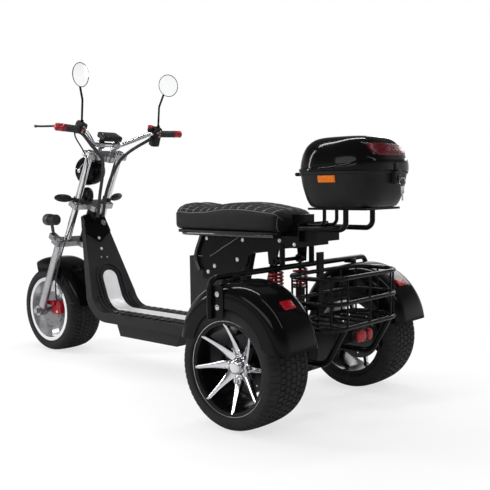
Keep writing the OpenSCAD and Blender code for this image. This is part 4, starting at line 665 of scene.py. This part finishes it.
red_lens = lens_plastic("red_lens_plastic", (0.36, 0.004, 0.012), 240)
dark_red = lens_plastic("dark_red_lens_plastic", (0.11, 0.003, 0.01), 240)
amber = lens_plastic("amber_lens_plastic", (0.85, 0.2, 0.012), 260)
lens_rows = [(955, 0.953, 0.5), (962, 0.946, 0.68), (972, 0.928, 0.85), (984, 0.892, 0.97), (993, 0.868, 1),
             (999, 0.85, 0.94)]
piece("lid_red_lens", [box_pad(lens_rows, pi, radians(41), 3.5)], "lid", dark_red, ["lid_lens"], 50)
amber_rows = [(863, 0.956, 1), (876, 0.966, 1), (889, 0.974, 1)]
piece("box_side_reflectors", both([box_pad(amber_rows, pi / 2, radians(5.5), 6)]), "chassis", amber,
      ["box_reflectors"], 50)
latch = [block((46, 44, 19), 7, 3, mm(-384, 0, 879), Z, Y),
         lathe([(0, 4), (9, 4), (11, 2.5), (11, -3), (0, -3)], mm(-403, 0, 876), -X, 28)]
piece("box_latch", latch, "chassis", satin_black, ["box_lock"])
piece("lid_tongue", [block((26, 24, 7), 6, 2.5, mm(-390, 0, 917.5), Z, Y)], "lid", satin_black)
key_steel = surface("key_steel", (0.5, 0.5, 0.5), 0.25, 1.0, grain=(400, 0.1))
hang = linspace(0, 2 * pi, 33)
keys = [block((2.4, 20, 20), 1.1, 0.8, mm(-404, 0, 876), Z, Y),
        tube(mm(-418 + 12 * sin(hang), 1, 862 - 13 * cos(hang)), 0.9, 8, Y, False),
        block((2.4, 22, 26), 1.1, 0.8, mm(-418, 1, 848), X, -Y),
        block((2.0, 9, 26), 0.9, 0.6, mm(-418, 1, 823), X, -Y)]
piece("box_keys", keys, "chassis", key_steel)


def hinge_pin(y, half):
    """A pin with broken edges along the box's front, half of it to each side of y."""
    outline = [(0, half), (6.5, half), (6.8, half - 1), (6.8, 1 - half), (6.5, -half), (0, -half)]
    return lathe(outline, mm(-32, y, 896), Y, 24)


feet = both([hinge_pin(70, 36), block((26, 60, 7), 3, 1.5, mm(-41, 70, 890))])
piece("box_hinge_feet", feet, "chassis", satin_black, ["box_tub"])
tabs = [hinge_pin(0, 43), block((24, 86, 7), 3, 1.5, mm(-40, 0, 905))]
piece("lid_hinge_tab", tabs, "lid", gloss_black, ["box_lid"])

# REAR FENDERS, HOOP, BASKET AND TAIL
# Glossy moulded fenders with rounded shoulders and skirts hang from a bent steel hoop that is bolted to both of
# them and to the seat box; a welded wire basket sits between them over two loop bars, a red lamp under its floor.
fender_x, fender_z, fender_radius, fender_half, fender_round, fender_skirt = -15, 273, 252, 112, 46, 88


def fender_line(off):
    """Radius and width of the fender's section, from one skirt over both shoulders to the other, off inside it."""
    corner, flat = linspace(0, pi / 2, 12), fender_half - fender_round
    skirt = linspace(fender_radius - fender_skirt, fender_radius - fender_round, 4)[:-1]
    top = flat * (1 - linspace(0, 1, 12)[1:-1])
    crown = fender_radius - off + 1.2 * (1 - (top / flat) ** 2)
    radius = concatenate([skirt, fender_radius - fender_round + (fender_round - off) * sin(corner), crown])
    width = concatenate([0 * skirt + fender_half - off, flat + (fender_round - off) * cos(corner), top])
    return np.append(radius, radius[::-1]), np.append(width, -width[::-1])


def sweep(centre, radius, width, first, last, n):
    """A section of radius and width carried round the centre, each of its points from its first angle to its last."""
    turn = radians(first + (last - first) * linspace(0, 1, n)[:, None])
    return round_axle(centre, radius, turn, width)


def fender(side, off):
    """The section carried round the wheel; towards both ends the skirts are cut back in a round corner."""
    radius, width = fender_line(off)
    low = np.clip((fender_radius - radius) / fender_skirt, 0, 1) ** 2.5
    return sweep((fender_x, side * half_track, fender_z), radius, width, 10 + 7 * low, 173 - 9 * low, 97)


for name, side in (("left", 1), ("right", -1)):
    piece("fender_shell_" + name, [shell(fender(side, 0), fender(side, 4))], "chassis", gloss_black,
          ["fender_" + name], 50)
pad_seat = round_axle((fender_x, half_track, fender_z), 253.4, radians(135), 0)
pads = both([block((36, 60, 7), 4, 2.5, pad_seat, X + Z)])
piece("fender_red_reflectors", pads, "chassis", red_lens, ["fender_reflectors"])

hoop_x, hoop_y, hoop_z = 48, 496.3, 540.6
hoop = bent([(hoop_x, y, z) for y, z in ((hoop_y, 400), (hoop_y, hoop_z), (-hoop_y, hoop_z), (-hoop_y, 400))], 40, 12)
hoop_feet = both([block((40, 40, 18), 5, 2, mm(hoop_x, half_track, 522)),
                  tube(mm(hoop_x, 94, linspace(hoop_z, 629, 6)), 11, 20, X),
                  block((56, 116, 4), 10, 1.5, mm(20, 485.4, 458), X, -Z)])
piece("fender_hoop_tube", [tube(mm(*hoop.T), 11, 20, X)] + hoop_feet, "chassis", black_coat,
      ["fender_hoop"])
bolts("fender_bolts", "chassis", [(mm(20, side * 489.4, z), side * Y, 6.5) for side in (1, -1) for z in (440, 486)])
loop = bent([(-26, 150, 206), (-196, 150, 206), (-277, 150, 350)], 60, 12)
piece("tail_loop_bars", both([tube(mm(*loop.T), 12, 20, Y)]), "chassis", black_coat, ["tail_bar"])
tail_parts = [(block((112, 50, 17), 24, 3, mm(-241, 0, 300.7), -Y, Z), 1),
              (block((62, 43, 10), 20, 4, mm(-256.5, 22, 300.7), -Y, Z), 0),
              (block((36, 43, 10), 16, 4, mm(-256.5, -33, 300.7), -Y, Z), 0),
              (block((40, 42, 4), 6, 1.5, mm(-240.5, 0, 324.5), -Y, Z), 1)]
piece("tail_lamp_pair", tail_parts, "chassis", [red_lens, satin_black], ["tail_lamp"])

# FORK, YOKES AND FRONT FENDER
# Two chromed stanchions in three cast yokes, with satin alloy legs below that hold the axle; the glossy front fender
# is bolted to the legs, and a red caliper grips the disc behind the left leg.
rake = radians(26.5)
across_fork = np.array([cos(rake), 0, sin(rake)])
up_fork = np.array([-sin(rake), 0, cos(rake)])


def fork(x, y, s):
    """Millimetres forward across the fork, to the left and up along it from the front axle, in metres."""
    x, y, s = np.broadcast_arrays(np.asarray(x, float), y, s)
    return mm(wheelbase + x * cos(rake) - s * sin(rake), y, axle_z + x * sin(rake) + s * cos(rake))


dress(surface("cast_fork_alloy", (0.3, 0.3, 0.31), 0.28, 0.95, (18, 0.25), (380, 0.15)), "yokes")
dress(surface("satin_leg_alloy", (0.36, 0.36, 0.37), 0.26, 0.9, (10, 0.15), (300, 0.1)), "fork_legs")
dress(chrome, "fork_tubes")
front_half, front_low, front_rise = 104, 206, 70


def front_fender(off):
    """A section with a round crown and upright skirts, carried round the front wheel; both ends are rounded."""
    lean = linspace(0, pi, 41)
    width = (front_half - off) * signed(cos(lean), 2 / 4.5)
    radius = front_low + (front_rise - off) * sin(lean) ** (2 / 2.6)
    corner = (np.abs(width) / front_half) ** 6
    return sweep(front_axle, radius, width, 66 + 6 * corner, 172 - 6 * corner, 73)


blocks = both([block((30, 30, 16.5), 5, 2, fork(0, 95.5, 255), across_fork, -up_fork)])
piece("front_fender_shell", [shell(front_fender(0), front_fender(4))] + blocks, "steering", gloss_black,
      ["front_fender"], 50)
caliper = [block((64, 74, 24), 10, 4, mm(1564, 77, 240), X, -Z),
           block((56, 66, 22), 10, 4, mm(1560, 38, 240), X, -Z),
           block((20, 60, 60), 6, 3, mm(1531, 68.5, 210)),
           block((72, 22, 16), 6, 2, mm(1594, 96, 263), X, -Z)]
piece("front_brake_caliper", caliper, "steering", spring_red, ["front_caliper"])
bolts("caliper_bolts", "steering", [(mm(1564 + dx, 101, 240 + dz), Y, 5) for dx, dz in ((-16, -20), (16, 20))])

# HANDLEBAR, GRIPS AND CONTROLS
# A chromed steel bar bent up and back from two clamps, with ribbed rubber grips that end in a red collar, switch pods,
# brake levers with a red reservoir cap, and a flat display over the clamps.
bar_end, bar_knee, bar_turn = np.array([(-82, 378, 1055), (-55, 196, 1036), (0, 84, 945)], float)
bar_line = bent([bar_end, bar_knee, bar_turn, bar_turn * flip, bar_knee * flip, bar_end * flip], 40, 14)
piece("handlebar_tube", [tube(fork(*bar_line.T), 11, 24, across_fork)], "steering", chrome, ["handlebar"])
grip_way = unit(fork(*bar_knee) - fork(*bar_end))
grip_fore = unit(cross(up_fork, grip_way))
grip_up = cross(grip_way, grip_fore)
ribs, rib_pitch = linspace(46, 124, 157), 9.75
grip_body = np.stack([16.2 + 0.9 * np.sign(sin(ribs * 2 * pi / rib_pitch)), ribs], -1)
grip_body = concatenate([[(11.4, 45), (16, 45)], grip_body, [(18.5, 124.5), (20, 126), (20, 127.5), (11.4, 128)]])
grip_collar = [(0, -2), (9, -2), (15, 0), (17.6, 3), (17.8, 12), (17, 14), (17, 30), (17.8, 32), (17.8, 43),
               (16.5, 45), (11.4, 45)]
grip_rubber = surface("grip_rubber", (0.02, 0.02, 0.021), 0.62, grain=(600, 0.3), specular=0.35)
collar_red = surface("red_anodised_collar", (0.26, 0.006, 0.014), 0.3, 0.5, grain=(300, 0.1))
grip_parts = [(lathe(shape, fork(*bar_end), grip_way, 36), k) for k, shape in enumerate((grip_body, grip_collar))]
piece("bar_grips", both(grip_parts), "steering", [grip_rubber, collar_red], ["grips"], 25)

pod_middle = bar_end + unit(bar_knee - bar_end) * 147
pod_seat = fork(*pod_middle)


def on_pod(x, y, z):
    """Millimetres forward, up and inwards from the middle of the left switch pod, in metres."""
    return pod_seat + (x * grip_fore + y * grip_up + z * grip_way) / 1000


pod = [block((46, 52, 34), 9, 3, on_pod(-1, 10, -17), grip_fore, grip_up),
       block((40, 24, 32), 6, 3, on_pod(20, -6, -16), grip_fore, grip_up),
       lathe([(11.3, 19), (18, 19), (19, 17), (19, -17), (18, -19), (11.3, -19)], pod_seat, grip_way, 32)]
throttle = [block((48, 96, 34), 9, 4, on_pod(-1, -14, -17), grip_fore, grip_up) * flip,
            block((34, 40, 12), 6, 3, on_pod(-6, -40, 15), grip_fore, grip_up) * flip]
buttons = [(block((9, 12, 6), 3, 1.5, on_pod(-26, y, z), grip_up, grip_way), number)
           for y, z, number in ((22, -6, 1), (8, -6, 2), (-4, -6, 1), (15, 8, 1))]
button_red = surface("red_button", (0.5, 0.015, 0.015), 0.35, grain=(400, 0.1))
button_grey = surface("grey_button", (0.2, 0.2, 0.21), 0.45, grain=(500, 0.2))
piece("switch_pods", both(pod) + throttle + both(buttons), "steering",
      [satin_black, button_grey, button_red], ["controls"])
cup = [(0, 22), (15, 22), (16.5, 20.5), (16.5, 4), (14, 0), (0, 0)]
cup_lid = [(0, 30), (15, 30), (17.6, 28.5), (17.6, 22.5), (16, 22), (0, 22)]
cup_seat = on_pod(26, 2, 20)
reservoir = [(lathe(cup, cup_seat, grip_up, 32), 0), (lathe(cup_lid, cup_seat, grip_up, 32), 1),
             (block((26, 16, 26), 6, 3, on_pod(24, 4, 4), grip_fore, grip_up), 0)]
piece("brake_reservoirs", both(reservoir), "steering", [satin_black, collar_red])
lever_line = curve([(-16, 235, 1033), (2, 262, 1030), (8.8, 318, 1023.5), (15, 380, 1016), (15, 420, 1014)], 40)
lever_thick = np.interp(linspace(0, 1, 40), [0, 0.12, 0.5, 0.92, 0.94, 1], [8, 6.5, 5.2, 4.6, 6.4, 6.2])
lever_black = surface("lever_black", (0.03, 0.03, 0.032), 0.36, 0.3, grain=(300, 0.1))
piece("brake_lever_blades", both([tube(fork(*lever_line.T), lever_thick, 16, up_fork)]), "steering",
      lever_black, ["brake_levers"])
screen = surface("display_glass", (0.006, 0.006, 0.008), 0.08, cloud=(10, 0.3), grain=(40, 0.01), coat=0.3)
panel = [(block((70, 112, 24), 12, 5, fork(0, 0, 975), across_fork), 0),
         (block((52, 92, 3), 8, 1, fork(0, 0, 997.5), across_fork), 1)]
panel += both([(block((16, 16, 16), 4, 2, fork(0, 46, 962), across_fork), 0)])
piece("speed_display", panel, "steering", [satin_black, screen], ["display"])

# MIRRORS
# Round black shells with a thin rim and silvered glass on bent steel stems, screwed into the switch pods.
mirror_middle = np.array([-10, 266, 1281], float)
mirror_aim = unit([-cos(rake) - 0.02, -0.24, sin(rake) - 0.04])
mirror_way = unit(fork(*(mirror_middle + 100 * mirror_aim)) - fork(*mirror_middle))
mirror_seat = fork(*mirror_middle)
bowl = [(0, -18), (14, -17.6), (30, -15), (43, -10), (51, -4.5), (54.6, 0.5), (55, 2.2), (54, 3), (52.6, 2.6),
        (52, 0), (0, 0)]
glass = [(0, 1.8), (30, 1.6), (51.5, 1.2), (51.8, 0.4), (0, 0.4)]
stem = bent([pod_middle + 38 * Z, (-25, pod_middle[1], 1171), mirror_middle - mirror_aim * 15], 40, 12)
silver = surface("mirror_silver", (0.95, 0.96, 0.97), 0.03, 1.0, (9, 0.05), (30, 0.005), 0.02)
mirror_parts = [lathe(bowl, mirror_seat, mirror_way, 64), tube(fork(*stem.T), 5, 14, across_fork),
                lathe([(0, 16), (8, 16), (8, 0), (0, 0)], fork(*(pod_middle + 30 * Z)), up_fork, 6),
                lathe([(0, 14), (9, 13), (11, 8), (11, -2), (0, -3)], mirror_seat - 0.02 * mirror_way, -mirror_way, 24)]
piece("mirror_shells", both(mirror_parts), "steering", gloss_black, ["mirrors"])
piece("mirror_faces", both([lathe(glass, mirror_seat, mirror_way, 64)]), "steering", silver,
      ["mirror_glass"])

# LAMPS AND HORN
# A black headlamp bowl with a bright rim hangs under the top yoke, a black horn sits over the middle yoke, leaf-shaped
# turn signals stand out on stalks, and finned spot lamps are bolted to the lower yoke's lugs.
lamp_seat = fork(64, 0, 775)
bowl = [(0, -62), (16, -61.5), (32, -57), (46, -49), (57, -37), (65, -21), (69.5, -4), (71, 14), (71, 30)]
rim = [(71, 30), (73, 31), (73.5, 36), (72, 41), (67, 43), (65, 40), (65, 36)]
dish = [(64, 36), (56, 18), (40, 0), (24, -12), (0, -18)]
clear = [(0, 45), (30, 44), (52, 41), (66, 37.5), (66, 35.5), (0, 39)]
headlamp_parts = [(lathe(bowl + rim + dish, lamp_seat, X, 64), 0), (lathe(rim[:5] + rim[:1], lamp_seat, X, 64), 1),
                  (lathe([(0, 6), (12, 4), (14, -10), (0, -16)], lamp_seat, X, 32), 1),
                  (block((26, 30, 44), 6, 3, fork(34, 0, 830), across_fork), 0)]
piece("headlamp_bowl", headlamp_parts, "steering", [gloss_black, chrome], ["headlamp"])
lens_clear, start = blank("clear_lamp_glass")
flutes = start.here().part(1).wave(900)
paint(lens_clear, start, flutes.tint((0.8, 0.84, 0.86), (0.92, 0.94, 0.95)), 0.06 + flutes * 0.04,
      flutes.bump(0.2, 0.001), 0.0, 0.6, {"Alpha": 0.35 + flutes * 0.1})
piece("headlamp_glass", [lathe(clear, lamp_seat, X, 64)], "steering", lens_clear, ["headlamp_lens"])
bolts("headlamp_screws", "steering", [(lamp_seat + [0.012, side * 0.0705, 0], side * Y, 7) for side in (1, -1)])
horn_shape = [(0, -33), (13, -33), (15, -30), (20, -26), (22, -12), (26, -9), (35, -7), (37, -5), (37, -1), (35, 1),
              (30, 3), (16, 4), (10, 7), (0, 7)]
horn_parts = [lathe(horn_shape, fork(52, 0, 648), X),
              block((20, 24, 26), 5, 2, fork(18, 0, 631.5), across_fork)]
piece("horn_body", horn_parts, "steering", satin_black, ["horn"])

signal_way = unit(fork(24.19, 97.03, 0) - fork(0, 0, 0))
signal_seat = fork(0, 90, 647)
signal_body = [(0, 36), (9, 37), (15, 44), (20, 62), (20.5, 82), (17, 104), (9, 119), (0, 124)]
signal_lens = [(0, 54), (12, 56), (17, 66), (18.6, 82), (15.5, 102), (8, 115), (0, 119)]
clamp = [(17.4, 10), (22, 10), (23, 8), (23, -8), (22, -10), (17.4, -10), (17.4, 10)]
smoke = lens_plastic("smoked_amber_lens", (0.02, 0.015, 0.012), 300)
leaves = ((signal_body, 0, 0.62, 0), (signal_lens, 0.003, 0.66, 1), (signal_lens, -0.003, 0.66, 1))
signal_parts = [(lathe(np.abs(curve(shape, 40)), signal_seat + off * across_fork, signal_way, 40, up_fork, flat), k)
                for shape, off, flat, k in leaves]
signal_parts += [(tube(signal_seat + linspace(0.017, 0.042, 6)[:, None] * signal_way, 6.5, 16, up_fork), 0),
                 (lathe(clamp, signal_seat, up_fork, 36), 0)]
piece("leaf_signals", both(signal_parts), "steering", [satin_black, smoke], ["turn_signals"])
spot_seat = fork(104, 132, 481)
fins = [(0, -37)]
for k in np.arange(-37, 8, 9):
    fins += [(27.5, k), (27.5, k + 3), (21, k + 3), (21, k + 9)]
fins += [(29, 8), (30, 10), (30, 40), (29, 44), (25.5, 44), (25, 38), (0, 30)]
spot_glass = [(0, 42), (14, 41), (25, 38), (25, 36), (0, 36)]
spot_parts = [(lathe(fins, spot_seat, X, 40), 0), (lathe(spot_glass, spot_seat, X, 40), 1),
              (tube(fork(linspace(66, 98, 6), 132, linspace(423, 462, 6)), 8, 14, Y), 0)]
spot_black = surface("spot_lamp_black", (0.03, 0.03, 0.032), 0.42, 0.4, grain=(420, 0.25))
piece("spot_lamp_bodies", both(spot_parts), "steering", [spot_black, lens_clear], ["spot_lamps"])

# CABLES
# Two thick sleeved looms run from the switch pods down inside the fork to the neck, and a thin brake hose follows
# the left leg to the caliper; all are black.
sleeve, start = blank("woven_sleeve")
way = start.node("UVMap", {"uv_map": "way"})
weave = start.maths("SINE", way.part(1) * 900) * start.maths("SINE", way.part(0) * 75) * 0.5 + 0.5
paint(sleeve, start, weave.tint((0.012, 0.012, 0.012), (0.03, 0.03, 0.03)), 0.5 + weave * 0.2,
      weave.bump(0.4, 0.0008), 0.0, 0.35)
loom = curve([(-46, 232, 1030), (-62, 200, 1010), (-52, 140, 962), (-52, 92, 926), (-58, 52, 884), (-58, 28, 800),
              (-66, 18, 700), (-85, 16, 630), (-92, 16, 594)], 90)
hose = curve([(-36, 244, 1028), (-36, 226, 990), (-40, 170, 930), (-42, 132, 880), (-40, 116, 800), (-40, 112, 700),
              (-40, 114, 600), (-40, 124, 500), (-42, 134, 400), (-44, 136, 300), (-48, 130, 200), (-52, 112, 130),
              (-54, 94, 82)], 120)
for name, line, thick in (("loom_left", loom, 16), ("loom_right", loom * flip, 16), ("brake_hose", hose, 7)):
    line = fork(*line.T)
    cable = piece(name, [tube(line, thick / 2, 14, across_fork)], "steering", sleeve,
                  ["control_cables"] if name == "brake_hose" else (), 60)
    run = float(np.linalg.norm(np.diff(line, axis=0), axis=1).sum())
    thick / 1000
